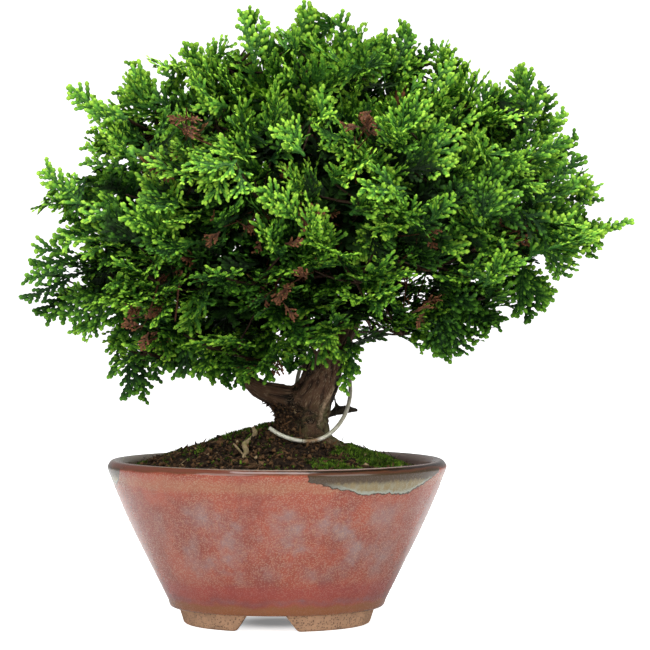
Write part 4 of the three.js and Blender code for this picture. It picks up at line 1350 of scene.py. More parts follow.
# %% [markdown]
# ## The foliage
#
# A hinoki cypress has no needles. Its leaves are scales pressed flat to the twig, so a twig looks like
# a string of flat beads, and the twigs branch in one plane, like a fan or a fern. A leaf texture on
# flat cards would be quick, but close by it is a card. Here the fans are grown as they grow in
# nature: an axis of beads, side twigs that leave it left and right in turn, and short twigs on those.
#
# Thousands of beads have to stay cheap. Each bead is a small roof: narrow and flat at its two
# joints, wide in the middle, with one raised point there. That is six triangles, which smooth
# shading rounds off. In the shade the raised point isn't seen, so there the beads are flat and take
# four. A few fans are grown once and used many times, each copy turned, bent and placed by itself.

# %% Grow one fan
BEAD = 2.05
BEAD_HALF_WIDTH = 0.93
WAIST = 0.62  # how wide a joint is beside a bead
RIDGE = 0.66


def roof_faces(before, after):
    """The triangles between two rings of a bead. Each ring has two ends, and one may have a raised point."""
    (left, *_, right), (next_left, *_, next_right) = before, after
    if len(after) == 3:
        top = after[1]
        return [(left, top, next_left), (left, right, top), (right, next_right, top)]
    if len(before) == 3:
        top = before[1]
        return [(left, top, next_left), (top, next_right, next_left), (top, right, next_right)]
    return [(left, right, next_right), (left, next_right, next_left)]


class Fan:
    """A fan of beaded twigs in its own plane: x along its axis, y to the side and z out of the plane."""

    def __init__(self):
        self.rings = []

    def twig(self, start, heading, beads, bend, lift, width=1.0, age=0.0, roll=0.0):
        """Lays one twig of beads, rolled a little to one side. Returns its joints with their headings."""
        x, y, z = start
        joints = []
        for half in range(2 * beads + 1):
            swollen = half % 2 == 1
            wide = BEAD_HALF_WIDTH * width * (1.0 if swollen else WAIST)
            if half == 0:
                wide *= 0.8
            if half == 2 * beads:
                wide *= WAIST
            (ahead, aside), (level, tilt) = ((math.cos(angle), math.sin(angle)) for angle in (heading, roll))
            across = np.array([-aside * level, ahead * level, tilt]) * wide
            over = np.array([aside * tilt, -ahead * tilt, level]) * RIDGE
            self.rings.append((np.array([x, y, z]), across, over, age + (2 * beads - half) / 2, half))
            if not swollen:
                joints.append(((x, y, z), heading))
            x += ahead * BEAD / 2
            y += aside * BEAD / 2
            z += lift * BEAD / 2
            heading += bend / 2
        return joints

    def mesh(self, raised=True):
        """Points, triangles, and for each point its age and how far across the bead it lies."""
        points, marks, faces, before = [], [], [], []
        for middle, across, over, age, half in self.rings:
            spots = [(middle + across, 0.12), (middle - across, 0.88)]
            if raised and half % 2 == 1:
                spots.insert(1, (middle + over, 0.5))
            ring = list(range(len(points), len(points) + len(spots)))
            if half > 0:
                faces += roof_faces(before, ring)
            points += [place for place, _ in spots]
            marks += [(age, share) for _, share in spots]
            before = ring
        return np.array(points), np.array(faces), np.array(marks)


def grow_fan(beads, rng, spread=42.0, slender=0.6, leafy=0.5, stout=1.0):
    """One fan with an axis of so many beads. Its twigs rise out of the plane, so that it is a shallow cup."""
    fan = Fan()
    curl = math.radians(rng.uniform(-18, 18)) / beads
    axis = fan.twig((0, 0, 0), 0.0, beads, curl, rng.uniform(0.0, 0.12), 0.9 * stout)
    hand = rng.choice([-1, 1])
    lobe = rng.uniform(0.75, 1.25, 2)
    for index, (place, heading) in enumerate(axis[1:-1], 1):
        hand = -hand
        share = index / beads
        longest = slender * beads * lobe[(hand + 1) // 2]
        count = round(longest * (0.7 + 1.0 * share) * (1 - share) ** 0.6 + rng.uniform(-0.4, 0.7))
        if count < 1:
            continue
        angle = heading + hand * math.radians(spread + rng.normal() * 6)
        closing = -hand * math.radians(rng.uniform(1, 6))
        lift, roll = rng.normal(0.12, 0.2), rng.normal(0, 0.4)
        side = fan.twig(place, angle, count, closing, lift, stout, rng.uniform(0, 0.6), roll)
        inner = hand
        for step, (spot, way) in enumerate(side[1:-1], 1):
            inner = -inner
            small = min(2, round((count - step) * leafy + rng.uniform(-0.4, 0.3)))
            if small >= 1:
                off = inner * math.radians(spread - 4 + rng.normal() * 7)
                roll = rng.normal(0, 0.4)
                lift = rng.normal(0.18, 0.22)
                age = rng.uniform(0, 0.8)
                fan.twig(spot, way + off, small, -0.3 * off / 3, lift, 0.96 * stout, age, roll)
    return fan


fan_rng = np.random.default_rng(SEED + 3)
short_fans = [grow_fan(beads, fan_rng) for beads in (6, 7, 7, 8, 8, 8, 9, 9, 9, 10)]
FANS = [fan.mesh() for fan in short_fans]
SHADE_FANS = [fan.mesh(raised=False) for fan in short_fans]
LONG_FANS = {beads: grow_fan(beads, fan_rng, 40.0, 0.4, 0.36, 1.22).mesh() for beads in range(9, 16)}
LONG_FANS[16] = grow_fan(16, fan_rng, 34.0, 0.2, 0.3, 1.25).mesh()
for name, kind in (("outer", FANS), ("shade", SHADE_FANS), ("long", LONG_FANS.values())):
    print(name, "fans have", [len(faces) for _, faces, _ in kind], "triangles")

# %% [markdown]
# The colour of a bead depends on two things. One is how far it lies from the tip of its twig: this
# year's tips are bright yellow-green, and the leaves behind them are older and darker. The other is
# the light and shade painted on its fan. So the mesh gets a texture map whose first number is the
# distance from the tip and whose second picks one of eight tones, from sunlit through painted shade
# to dead. Many beads share one spot of that map, and they are meant to, because they look alike.

# %% Place a fan
TONES = 8
DEAD_TONE, WOOD_TONE = 6, 7
AGE_SPAN = 16.0  # beads from the tip at which a twig counts as old


def place_fan(fan, base, forward, up, tone, bow, cup, twist, size):
    """Points, faces and map of one copy of a fan. bow bends it along its axis and cup lets its sides hang."""
    flat, faces, marks = fan
    forward = forward / np.linalg.norm(forward)
    up = up - forward * (up @ forward)
    up /= np.linalg.norm(up)
    aside = np.cross(up, forward)
    x, y, z = flat.T * size
    z = z - cup * y * y + twist * x * y
    angle = bow * x
    bent_x = np.where(np.abs(bow) > 1e-6, np.sin(angle) / (bow or 1), x) - z * np.sin(angle)
    bent_z = np.where(np.abs(bow) > 1e-6, (1 - np.cos(angle)) / (bow or 1), 0) + z * np.cos(angle)
    points = base + bent_x[:, None] * forward + y[:, None] * aside + bent_z[:, None] * up
    shade = np.clip(marks[:, 0] / AGE_SPAN, 0.01, 0.99)
    return points, faces, np.stack([shade, (tone + marks[:, 1]) / TONES], axis=1)


def twig_to(start, end, thick, tone=WOOD_TONE):
    """A bare twig from a branch to the foot of a fan, sagging a little."""
    share = np.linspace(0, 1, 5)[:, None]
    sag = 0.16 * np.linalg.norm(end - start) * share * (1 - share)
    path = start + (end - start) * share - sag * np.array([0, 0, 1])
    points, faces = swept_thread(path, thick * np.linspace(1, 0.6, 5), 3)
    faces = np.concatenate([faces[:, [0, 1, 2]], faces[:, [0, 2, 3]]])
    along = np.repeat(np.linspace(0.1, 0.9, 5), 3)
    return points, faces, np.stack([along, np.full(len(points), (tone + 0.5) / TONES)], axis=1)


print("a bare twig has", len(twig_to(np.zeros(3), np.ones(3), 1.0)[1]), "triangles")

# %% The colour of the scale leaves

# For each tone: the colour of the youngest beads, of those a little behind the tip, and of the oldest.
# The first six tones are painted light and shade, from sunlit to deep shade; then dead leaves, and wood.
LEAF_TONES = [
    ((0.350, 0.600, 0.054), (0.142, 0.388, 0.033), (0.032, 0.118, 0.017)),
    ((0.322, 0.572, 0.050), (0.116, 0.344, 0.029), (0.026, 0.094, 0.015)),
    ((0.268, 0.523, 0.041), (0.068, 0.222, 0.019), (0.016, 0.064, 0.010)),
    ((0.142, 0.338, 0.027), (0.032, 0.116, 0.011), (0.009, 0.038, 0.007)),
    ((0.062, 0.180, 0.016), (0.015, 0.056, 0.007), (0.005, 0.021, 0.005)),
    ((0.024, 0.068, 0.010), (0.010, 0.028, 0.006), (0.006, 0.014, 0.005)),
    ((0.200, 0.082, 0.038), (0.120, 0.048, 0.022), (0.050, 0.021, 0.011)),
    ((0.065, 0.039, 0.023), (0.046, 0.027, 0.016), (0.028, 0.017, 0.010)),
]


def tone_ramp(tree, value, which):
    """Picks the young, middle or old colour of a tone, in flat steps."""
    ramp = add_node(tree, "ShaderNodeValToRGB", Fac=value)
    ramp.color_ramp.interpolation = "CONSTANT"
    for index, tones in enumerate(LEAF_TONES):
        stops = ramp.color_ramp.elements
        stop = stops[index] if index < 2 else stops.new(index / TONES)
        stop.position = index / TONES
        stop.color = (*tones[which], 1)
    return ramp.outputs[0]


def scale_leaf():
    material, tree, shader = new_material("scale_leaf")
    spot = add_node(tree, "ShaderNodeUVMap", {"uv_map": "OFBake"}).outputs[0]
    shade, tone, _ = add_node(tree, "ShaderNodeSeparateXYZ", Vector=spot).outputs
    age = times(tree, shade, AGE_SPAN)
    young, middle, old = (tone_ramp(tree, tone, which) for which in range(3))
    colour = blend(tree, rise(tree, age, 0.6, 1.6), young, middle)
    colour = blend(tree, rise(tree, age, 1.1, 3.2), colour, old)
    joint = maths(tree, "ABSOLUTE", times_plus(tree, maths(tree, "FRACT", age), 2.0, -1.0))
    seam = times(tree, maths(tree, "POWER", joint, 3.0), 0.5)
    colour = blend(tree, seam, colour, old)
    across = maths(tree, "FRACT", times(tree, tone, float(TONES)))
    from_middle = maths(tree, "ABSOLUTE", maths(tree, "SUBTRACT", across, 0.5))
    # Painted shade and highlight: each bead is painted darker towards its edges and lighter along its middle,
    # so that it looks rounded.
    colour = blend(tree, times(tree, rise(tree, from_middle, 0.18, 0.38), 0.5), colour, old)
    keel_highlight = times(tree, rise(tree, from_middle, 0.16, 0.02), rise(tree, joint, 0.8, 0.3))
    colour = blend(tree, times(tree, keel_highlight, 0.22), colour, young)
    fill(tree, shader, Base_Color=colour, Roughness=times_plus(tree, seam, 0.4, 0.5), Specular_IOR_Level=0.08)
    return material


leaf = scale_leaf()
print("leaf tones:", len(LEAF_TONES))

# %% [markdown]
# ## Hanging the fans on the tree
#
# The frame holds the crown as pads, one for the end of each branch. Fans grow on the outside of a
# pad, and mostly where it faces the light. So points are spread over all the pads, points inside a
# neighbour are dropped, and the rest are thinned until they are evenly apart. Each point then gets a
# spray: three or four fans that share a foot and spread like the fingers of a hand. It points
# outwards and away from the trunk, its flat side turns to the light, and dark gaps stay between one
# spray and the next.

# %% The pads
PAD_NODES = sorted(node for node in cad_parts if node.startswith("foliage_"))
pad_boxes = np.array([[list(corner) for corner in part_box(node)] for node in PAD_NODES])
pad_boxes = (pad_boxes - POT_AXIS) / MM
pad_middle, pad_half = pad_boxes.mean(axis=1), (pad_boxes[:, 1] - pad_boxes[:, 0]) / 2
crown_low, crown_high = pad_boxes[:, 0].min(axis=0), pad_boxes[:, 1].max(axis=0)
CROWN_MIDDLE = (crown_low + crown_high) / 2 - (0, 0, 8)
CROWN_HALF = (crown_high - crown_low) / 2
pad_parts = {node: [] for node in PAD_NODES}
print(f"{len(PAD_NODES)} pads; the crown is {2 * CROWN_HALF.round()} mm")


def pad_depths(points):
    """For each point and each pad, 1 at the pad's surface and less inside it."""
    return np.linalg.norm((points[:, None] - pad_middle[None]) / pad_half[None], axis=2)


def sphere_points(count):
    """Even directions, laid in a spiral from pole to pole."""
    k = np.arange(count) + 0.5
    z = 1 - 2 * k / count
    turn = math.pi * (1 + 5**0.5) * k
    ring = np.sqrt(1 - z * z)
    return np.stack([ring * np.cos(turn), ring * np.sin(turn), z], axis=1)


def thinned(points, apart, rng):
    """Indexes of points at least so far apart, picked in a random order."""
    kept = np.empty((0, 3))
    chosen = []
    for index in rng.permutation(len(points)):
        if len(kept) == 0 or ((kept - points[index]) ** 2).sum(axis=1).min() > apart**2:
            kept = np.vstack([kept, points[index]])
            chosen.append(index)
    return np.array(chosen)


leaf_rng = np.random.default_rng(SEED + 4)
PAD_POINTS = 220
candidates = (pad_middle[:, None] + sphere_points(PAD_POINTS)[None] * pad_half[:, None] * 0.97).reshape(-1, 3)
depths = pad_depths(candidates)
depths[np.arange(len(candidates)), np.repeat(np.arange(len(PAD_NODES)), PAD_POINTS)] = 2
open_air = depths.min(axis=1) > 0.92
reach = np.linalg.norm((candidates - CROWN_MIDDLE) / CROWN_HALF, axis=1)
outside = open_air & (reach > 0.74)
outer_places, outer_standing = candidates[outside], depths.min(axis=1)[outside]
print("places on the outside of the crown:", len(outer_places))

# %% Pose the fans
STEEP_UP, STEEP_DOWN = 0.62, -0.35  # how upright the crown's surface is where the top and the underside begin


def unit(vector):
    return vector / np.linalg.norm(vector)


def turned_about(vector, axis, angle):
    """A vector turned about an axis, in radians."""
    return np.array(Matrix.Rotation(angle, 3, Vector(axis)) @ Vector(vector))


def fan_pose(place, rng):
    """The direction a fan grows in at a place on the crown, and the direction its upper side faces."""
    out = unit((place - CROWN_MIDDLE) / CROWN_HALF**2)
    flat_out = unit(np.array([out[0], out[1], 1e-6]))
    jitter = rng.normal(size=3)
    if out[2] > STEEP_UP:
        forward = out * rng.uniform(0.4, 1.0) + flat_out * rng.uniform(0.2, 0.8) + jitter * 0.35
        facing = rng.normal(size=3) * (0.9, 0.9, 0.2) + out * 0.35
    elif out[2] < STEEP_DOWN:
        forward = flat_out * 0.9 + out * 0.35 + jitter * 0.3
        facing = np.array([0, 0, 1.0]) + jitter * 0.3 + flat_out * 0.5
    else:
        level = unit(np.cross((0, 0, 1.0), out))
        climb = np.cross(out, level)
        away = np.sign(level @ (place - CROWN_MIDDLE) + rng.normal() * 25) or 1.0
        drift = layered_noise(np.array([place / 38]), 1, seed=61)[0]
        aside = level * away * abs(rng.normal(0.6, 0.25))
        forward = out * rng.uniform(0.35, 0.85) + aside + climb * (1.1 * drift + rng.normal() * 0.22)
        facing = out * 0.75 + np.array([0, 0, 0.6]) + jitter * 0.28
    return unit(forward), unit(facing), out


def nearest_pad(place):
    return PAD_NODES[int(np.argmin(pad_depths(place[None])[0]))]


def hub_of(node):
    """Where the branch ends inside a pad."""
    index = PAD_NODES.index(node)
    middle, half = pad_middle[index], pad_half[index]
    inwards = (CROWN_MIDDLE - middle) * (0.14, 0.14, 0)
    return middle + inwards - (0, 0, 0.2 * half[2])


def length_of(fan):
    return float(fan[0][:, 0].max())


print("outwards at the top:", fan_pose(CROWN_MIDDLE + (0, 0, 90), np.random.default_rng(SEED))[2])

# %% Hang fans and sprays
TWIG_REACH = 26.0  # how far from its branch a fan may still hang on a twig of its own, in millimetres
TWIG_END = 1.5  # how far the twig reaches into the fan
# The darkest tone of painted shade.
DARKEST_SHADE_TONE = 5

# Bays where the outline of the crown steps in: x, z and radius, in millimetres from the pot's axis.
OPEN_BAYS = [
    (153, 168, 7), (150, 190, 5), (44, 121, 9), (41, 128, 6), (51, 123, 6), (133, 156, 6), (135, 151, 6),
    (123, 242, 5), (60, 120, 5), (30, 122, 4), (23, 107, 5), (53, 115, 9), (-82, 114, 7), (-101, 178, 4),
    (4, 273, 7), (-95, 213, 5), (-50, 258, 6), (95, 253, 8), (9, 112, 7), (7, 107, 6),
]

# The dark inner fans also stay out of the open lace at the lower right.
LACE_BAYS = OPEN_BAYS + [(76, 133, 19), (98, 139, 16), (114, 148, 12)]


def in_bay(place, bays):
    return any(math.hypot(place[0] - x, place[2] - z) < radius for x, z, radius in bays)


def hang_fan(foot, forward, facing, fan, tone, rng, bow=None, size=1.0, node=None, bays=OPEN_BAYS):
    """Adds one fan to a pad, with its foot at the place given, unless it would fill a bay of the outline."""
    bow = rng.normal(0.004, 0.014) if bow is None else bow
    cup, twist = rng.uniform(-0.004, 0.012), rng.normal() * 0.010
    if in_bay(foot + forward * length_of(fan) * size, bays):
        return
    node = node or nearest_pad(foot)
    pad_parts[node].append(place_fan(fan, foot, forward, facing, tone, bow, cup, twist, size))


def hang_twig(node, end, thick, reach=TWIG_REACH):
    """Adds the bare twig that holds a fan, unless its branch is too far away."""
    hub = hub_of(node)
    if np.linalg.norm(hub - end) < reach:
        pad_parts[node].append(twig_to(hub, end, thick))


def hang_spray(tip, forward, facing, tone, rng, fans, stem=True, kinds=FANS, growth=1.0):
    """A hand of fans on one foot, with the tip of the middle one at the place given."""
    middle_fan = kinds[rng.integers(len(kinds))]
    foot = tip - forward * length_of(middle_fan) * growth
    node = nearest_pad(foot)
    hang_fan(foot, forward, facing, middle_fan, tone, rng, size=growth, node=node)
    hand = rng.choice([-1, 1])
    for index in range(1, fans):
        hand = -hand
        way = turned_about(forward, facing, hand * math.radians(rng.uniform(24, 54)))
        way = unit(way + facing * rng.normal(0.0, 0.30))
        roll = turned_about(way, facing, hand * math.pi / 2) * rng.normal(0.15, 0.35)
        face = unit(facing + roll + rng.normal(size=3) * 0.2)
        start = foot + forward * rng.uniform(-3, 6) - facing * rng.uniform(-0.5, 4.0) * (index > 1)
        side_tone = min(tone + int(rng.integers(0, 3)), DARKEST_SHADE_TONE)
        fan = kinds[rng.integers(len(kinds))]
        hang_fan(start, way, face, fan, side_tone, rng, size=rng.uniform(0.8, 1.0) * growth, node=node)
    if stem:
        hang_twig(node, foot + forward * TWIG_END, rng.uniform(0.5, 0.9))


def heading_at(degrees, backwards):
    """A direction turned from the right towards the top, with a part of it to the back."""
    turn = math.radians(degrees)
    return unit(np.array([math.cos(turn), backwards, math.sin(turn)]))


def hang_by_hand(tip, forward, facing, beads, tone, bow, thick, reach=TWIG_REACH):
    """Adds one long fan and its twig, with the tip of the fan at the place given."""
    fan = LONG_FANS[beads]
    foot = np.array(tip) - forward * length_of(fan)
    node = nearest_pad(foot)
    hang_fan(foot, forward, facing, fan, tone, leaf_rng, bow=bow, node=node)
    hang_twig(node, foot + forward * TWIG_END, thick, reach)


print("bays:", len(OPEN_BAYS), "and", len(LACE_BAYS) - len(OPEN_BAYS), "more for the inner fans")

# %% Hollows, shade and sun

# Small hollows where the foliage has died back: middle and radius, in millimetres from the pot's axis.
HOLLOWS = [
    ((-22, -76, 170), 14), ((-61, -60, 128), 8), ((68, -64, 163), 8), ((117, -32, 170), 10),
    ((66, -46, 133), 8), ((14, -84, 183), 6), ((-55, -56, 208), 6), ((-4, -60, 136), 10), ((60, 62, 175), 9),
    ((-60, 58, 195), 8), ((-42, -74, 226), 6), ((40, -70, 227), 6), ((-45, -62, 148), 8), ((12, -66, 150), 9),
]

# Shaded parts of the front: x, z, radius in millimetres, and how many tones darker they are.
SHADED = [
    (-12, 168, 34, 2.0), (-5, 143, 34, 2.3), (-74, 186, 18, 2.0), (-48, 234, 20, 1.6), (88, 200, 46, 1.8),
    (-90, 168, 44, 1.0), (114, 205, 34, 1.9), (-66, 132, 26, 1.7), (-42, 152, 26, 1.8), (80, 134, 34, 1.7),
    (112, 146, 26, 1.2), (14, 226, 14, 1.6), (125, 180, 22, 0.8), (110, 240, 16, 0.6), (-100, 200, 20, 0.6),
    (-27, 206, 17, 2.2), (41, 188, 15, 2.2), (66, 183, 17, 1.9), (65, 230, 20, 1.3), (-55, 166, 14, 1.8),
    (16, 180, 10, 1.6), (58, 250, 18, 0.8), (-106, 152, 26, 3.4), (132, 205, 16, 0.8), (108, 204, 18, 2.4),
    (102, 188, 14, 2.0), (135, 160, 12, 2.0), (-28, 215, 12, 2.2), (-27, 195, 10, 2.6), (53, 186, 10, 3.0),
    (66, 262, 12, 1.5), (126, 208, 9, 3.0), (96, 226, 40, 0.7), (124, 168, 26, 0.7),
    (92, 190, 18, 2.6), (60, 216, 13, 1.6), (41, 193, 10, 2.4), (14, 224, 13, 2.6), (60, 152, 10, 2.4),
]

# And parts that catch more light than the rest, in the same measures.
SUNLIT = [
    (-25, 243, 20, 1.6), (-10, 207, 17, 1.6), (31, 238, 16, 1.4), (30, 174, 17, 1.6), (-37, 184, 20, 1.8),
    (75, 170, 24, 2.0), (-68, 226, 14, 1.4), (86, 215, 10, 1.2), (128, 186, 18, 1.0), (4, 214, 42, 0.7),
    (-40, 210, 13, 1.8), (-20, 251, 13, 1.8), (-60, 222, 12, 1.6), (-82, 165, 14, 1.2), (20, 190, 10, 1.2),
]


def in_hollow(place):
    return any(np.linalg.norm(place - np.array(middle)) < radius for middle, radius in HOLLOWS)


def strongest(spots, x, z):
    """The strongest of some round spots at one place. Each is full at its middle and fades out to its rim."""
    away = ((math.hypot(x - a, z - b) / radius, tones) for a, b, radius, tones in spots)
    return max(tones * np.clip(1.5 - 1.5 * share, 0, 1) for share, tones in away)


def shade_at(x, z):
    """How many tones darker a place on the front is than the rest."""
    return strongest(SHADED, x, z) - strongest(SUNLIT, x, z)


print(f"shade at the middle of the front: {shade_at(0, 180):.1f} tones")

# %% The outer sprays
OUTER_SPACING = 15.0
TIP_SETBACK = (-2.0, 6.0)  # how far inside the frame's pads the tips stay, in millimetres
TOP_SETBACK = 5.0  # how much further inside at the top, where the side fans stand up
SEAM_SETBACK = 7.0  # in the seams between two pads
SHADE_SETBACK = 3.0  # for each tone of shade
EDGE_SETBACK = 2.5  # and at the left and right, where the fans on the outline stand in front of them
FRONT_GROWTH = 1.18  # how much larger the fans on the front half are

outer = thinned(outer_places, OUTER_SPACING, leaf_rng)
hung = 0
for index in outer:
    place = outer_places[index]
    if in_hollow(place):
        continue
    spray_rng = np.random.default_rng((SEED, int(index)))
    forward, facing, out = fan_pose(place, spray_rng)
    seam = np.clip((1.32 - outer_standing[index]) / 0.32, 0, 1)  # 1 deep between two pads
    shade = shade_at(place[0], place[2]) if place[1] <= 0 else 0.0
    light = 0.5 + 0.5 * out[2] + spray_rng.normal() * 0.3
    lit = 0.7 if out[2] > STEEP_UP else 0.0
    # Painted light and shade: the tone is brighter where the fan faces up or lies in a sunlit spot, and
    # darker in the seams between pads and in shaded spots.
    tone = int(np.clip(1.6 - 1.5 * light - lit + 1.8 * seam + shade + spray_rng.normal() * 0.6, 0, 4))
    setback = spray_rng.uniform(*TIP_SETBACK) + SEAM_SETBACK * seam + SHADE_SETBACK * max(0.0, shade)
    setback += TOP_SETBACK * max(0.0, out[2]) + EDGE_SETBACK * (abs(out[1]) < 0.4)
    fans = int(spray_rng.integers(3, 5)) - int(place[1] > 12 and spray_rng.random() < 0.5)
    growth = FRONT_GROWTH if place[1] < 0 else 1.0
    hang_spray(place - out * setback, forward, facing, tone, spray_rng, fans, growth=growth)
    hung += 1
print("outer sprays:", hung)

# %% [markdown]
# Some fans break the outline and give the crown its shape from the front. Those are listed one by
# one: where the tip is, which way it points and how many beads long it is. They turn their flat side
# to the front.

# %% The fans on the outline

# Tip position x and z in millimetres from the pot's axis, heading in degrees from the right, and beads.
OUTLINE_FANS = [
    (-93, 237, 146, 11), (-84, 229, 160, 10), (-67, 250, 124, 10), (-60, 245, 112, 9),
    (-39, 257, 118, 10), (-27, 258, 98, 9), (-16, 271, 106, 10), (-7, 272, 70, 9), (15, 275, 72, 10),
    (29, 271, 92, 9), (48, 263, 100, 9), (60, 263, 66, 10), (55, 268, 84, 10), (70, 259, 62, 10),
    (79, 251, 54, 10), (74, 255, 76, 10), (-6, 268, 80, 10), (-4, 262, 100, 9), (84, 243, 60, 9),
    (94, 240, 76, 9), (107, 249, 92, 11), (113, 246, 80, 9), (117, 240, 74, 10), (124, 235, 62, 9),
    (128, 229, 58, 10), (133, 219, 60, 10), (128, 222, 30, 9), (136, 206, 34, 9), (141, 197, 22, 10),
    (157, 181, 27, 16), (140, 188, 8, 11), (134, 180, -6, 11), (132, 170, -10, 12), (142, 160, -62, 10),
    (145, 193, 2, 10), (143, 189, -12, 9), (124, 146, -38, 10), (133, 185, 14, 10), (146, 176, 20, 10),
    (150, 178.5, 32, 10), (-105, 201, 142, 12), (-103, 190, 170, 10), (-88, 240, 118, 9),
    (-73, 236, 150, 10), (-66, 241, 138, 9), (-50, 249, 116, 9), (-110, 158, 190, 11),
    (-114, 143, 203, 11), (-112, 151, 196, 10), (-108, 137, 214, 11), (-103, 132, 222, 10),
    (-95, 132, 232, 10), (-104, 184, 196, 9), (-90, 131, 236, 10), (-100, 168, 204, 10),
    (-86, 128, 244, 10), (-80, 127, 256, 10), (-106, 194, 186, 9), (-109, 167, 172, 9),
    (-67, 98.5, 264, 11), (-58, 96.5, 276, 10), (-64, 101.5, 268, 11), (-74, 108, 256, 11),
    (-52, 106, 282, 10), (-40, 112, 262, 9), (-97, 178, 180, 10), (-93, 190, 176, 9),
    (-98, 171, 190, 9), (-88, 211, 168, 10), (-87, 203, 178, 10), (-85, 218, 155, 10),
    (-54, 236, 134, 9), (-48, 241, 112, 9), (-41, 257, 126, 9), (-64, 247, 130, 9), (-12, 273, 98, 9),
    (12, 276, 104, 9), (57, 267, 98, 9), (80, 256, 64, 9), (82, 250, 62, 9), (81, 243, 48, 9),
    (110, 246, 84, 9), (130, 213, 20, 9), (141, 163, -76, 9), (119, 138, -62, 9), (123, 142, -40, 9),
    (-46, 108, 252, 9), (-41, 109, 266, 9), (-50, 110, 262, 9), (-19, 104, 264, 9), (-84, 226, 172, 9),
    (-76, 232, 148, 9), (-34, 108, 266, 9), (-29, 107, 276, 9), (-25, 106, 266, 10), (-12, 108, 284, 9),
    (22, 112, -98, 9), (4, 118, -96, 9),
]


def outline_depth(x, z):
    """How far forward the outline of the crown lies: its widest line, moved a little at random."""
    return -6.0 + 10.0 * math.sin(0.13 * x + 0.21 * z)


for index, (x, z, heading, beads) in enumerate(OUTLINE_FANS):
    forward = heading_at(heading, 0.35 * math.sin(index * 2.4))
    facing = unit(np.array([0.25 * math.sin(index * 1.7), -1.0, 0.35 + 0.25 * math.cos(index * 1.1)]))
    # Painted shade: the lower fans on the outline, and those in shaded spots, take darker tones.
    tone = int(np.clip(1 + index % 2 + (z < 142) + (z < 118) + round(0.7 * shade_at(x, z)), 0, 4))
    hang_by_hand((x, outline_depth(x, z), z), forward, facing, beads, tone, 0.006 * math.sin(index), 0.8)
print("outline fans:", len(OUTLINE_FANS))

# %% [markdown]
# Under the crown a few sprays hang down round the fork of the trunk, where they hide part of the limb
# and of the stem. More hang on the right, in an open lace. They are listed one by one as well.

# %% The fans that hang low
LAST_AT_FORK = 18  # the rows up to this one hang round the fork and catch more light
HANGING_REACH = 16.0

# Tip position x, y and z in millimetres from the pot's axis, heading in degrees from the right, and beads.
HANGING_FANS = [
    (-9, -15, 106, 262, 10), (-4, -17, 108, 278, 10), (-14, -14, 107, 246, 10),
    (-22, -16, 110, 240, 10), (-29, -12, 106, 250, 10), (-4, -15, 112, -88, 10), (-3, -13, 117, -92, 9),
    (-6, -19, 105, -96, 9), (-9, -10, 112, -84, 10), (-36, -10, 110, 236, 10), (31, -8, 101, -88, 10),
    (32.5, -12, 108, -88, 9), (33.5, -5, 108, -74, 9), (35.5, 0, 116, -66, 9), (11, -17, 115, -98, 10),
    (16, -19, 113, -84, 9), (21, -18, 114, -92, 10), (25.5, -15, 115, -76, 9), (7, -16, 119, -110, 10),
    (43, -16, 134, -118, 10), (68, -14, 118, -92, 12), (70, -22, 118, -92, 13), (72, -16, 116, -88, 14),
    (78, -22, 118, -80, 13), (84, -12, 120, -70, 13), (92, -20, 124, -60, 13), (97, -14, 128, -44, 12),
    (102, -8, 132, -28, 12), (105, -16, 136, -100, 11), (111, -6, 133, -84, 11),
    (118, -10, 138, -54, 11), (121, -2, 143, -32, 11), (67, 4, 121, -90, 12), (72, 8, 121, -84, 12),
    (84, 6, 125, -66, 12), (98, 10, 133, -50, 12), (112, 10, 141, -44, 11), (-24, -16, 104, 252, 10),
    (-28, -14, 105, 262, 10), (-20, -18, 103, 268, 10), (-15, -18, 104, 258, 10),
    (-62, -12, 126, 250, 11), (-70, -8, 124, 240, 12), (-56, -4, 122, 262, 11),
    (-76, -14, 130, 232, 11), (-66, 2, 128, 256, 12), (-50, -14, 121, 268, 11), (-44, -8, 117, 252, 10),
    (-72, -2, 119, 248, 12),
]

for index, (*tip, heading, beads) in enumerate(HANGING_FANS):
    facing = unit(np.array([0.4 * math.sin(index * 1.9), -1.0, 0.5]))
    tone = 2 + (index > LAST_AT_FORK) + index % 2
    bow = 0.012 * math.cos(index)
    hang_by_hand(tip, heading_at(heading, -0.35), facing, beads, tone, bow, 0.7, HANGING_REACH)
print("hanging fans:", len(HANGING_FANS))

# %% [markdown]
# Behind the outer sprays the crown is still full, and its fans there are painted dark, as painted
# shade. A second layer of sprays stands a little inside the first. Further in there are larger ones
# painted nearly black, as painted shade, which also stop the daylight as the real tangle does. Small
# dead brown fans hang in the hollows.

# %% The inner layers
SECOND_SPACING, THIRD_SPACING, DEEP_SPACING = 17.0, 14.0, 11.0  # between feet, in millimetres
SECOND_DEPTH, THIRD_DEPTH, DEEP_DEPTHS = 0.87, 0.78, (0.66, 0.52, 0.38)  # 1 is the outside of the crown
THIRD_SIZE, DEEP_SIZE, DEEP_REACH = 1.25, 1.65, 1.1
DEAD_SHARE = 0.03
SHADE_TONE = 4


def drawn_in(depth):
    """The places on the outside, drawn in towards the middle of the crown."""
    return CROWN_MIDDLE + (outer_places - CROWN_MIDDLE) * depth


places = drawn_in(SECOND_DEPTH)
for index in thinned(places, SECOND_SPACING, leaf_rng):
    forward, facing, out = fan_pose(places[index], leaf_rng)
    # Painted shade: the second layer takes darker tones, one tone lighter near the top.
    tone = int(leaf_rng.integers(3, 5)) - int(out[2] > 0.3)
    hang_spray(places[index], forward, facing, tone, leaf_rng, fans=2, stem=False, kinds=SHADE_FANS)

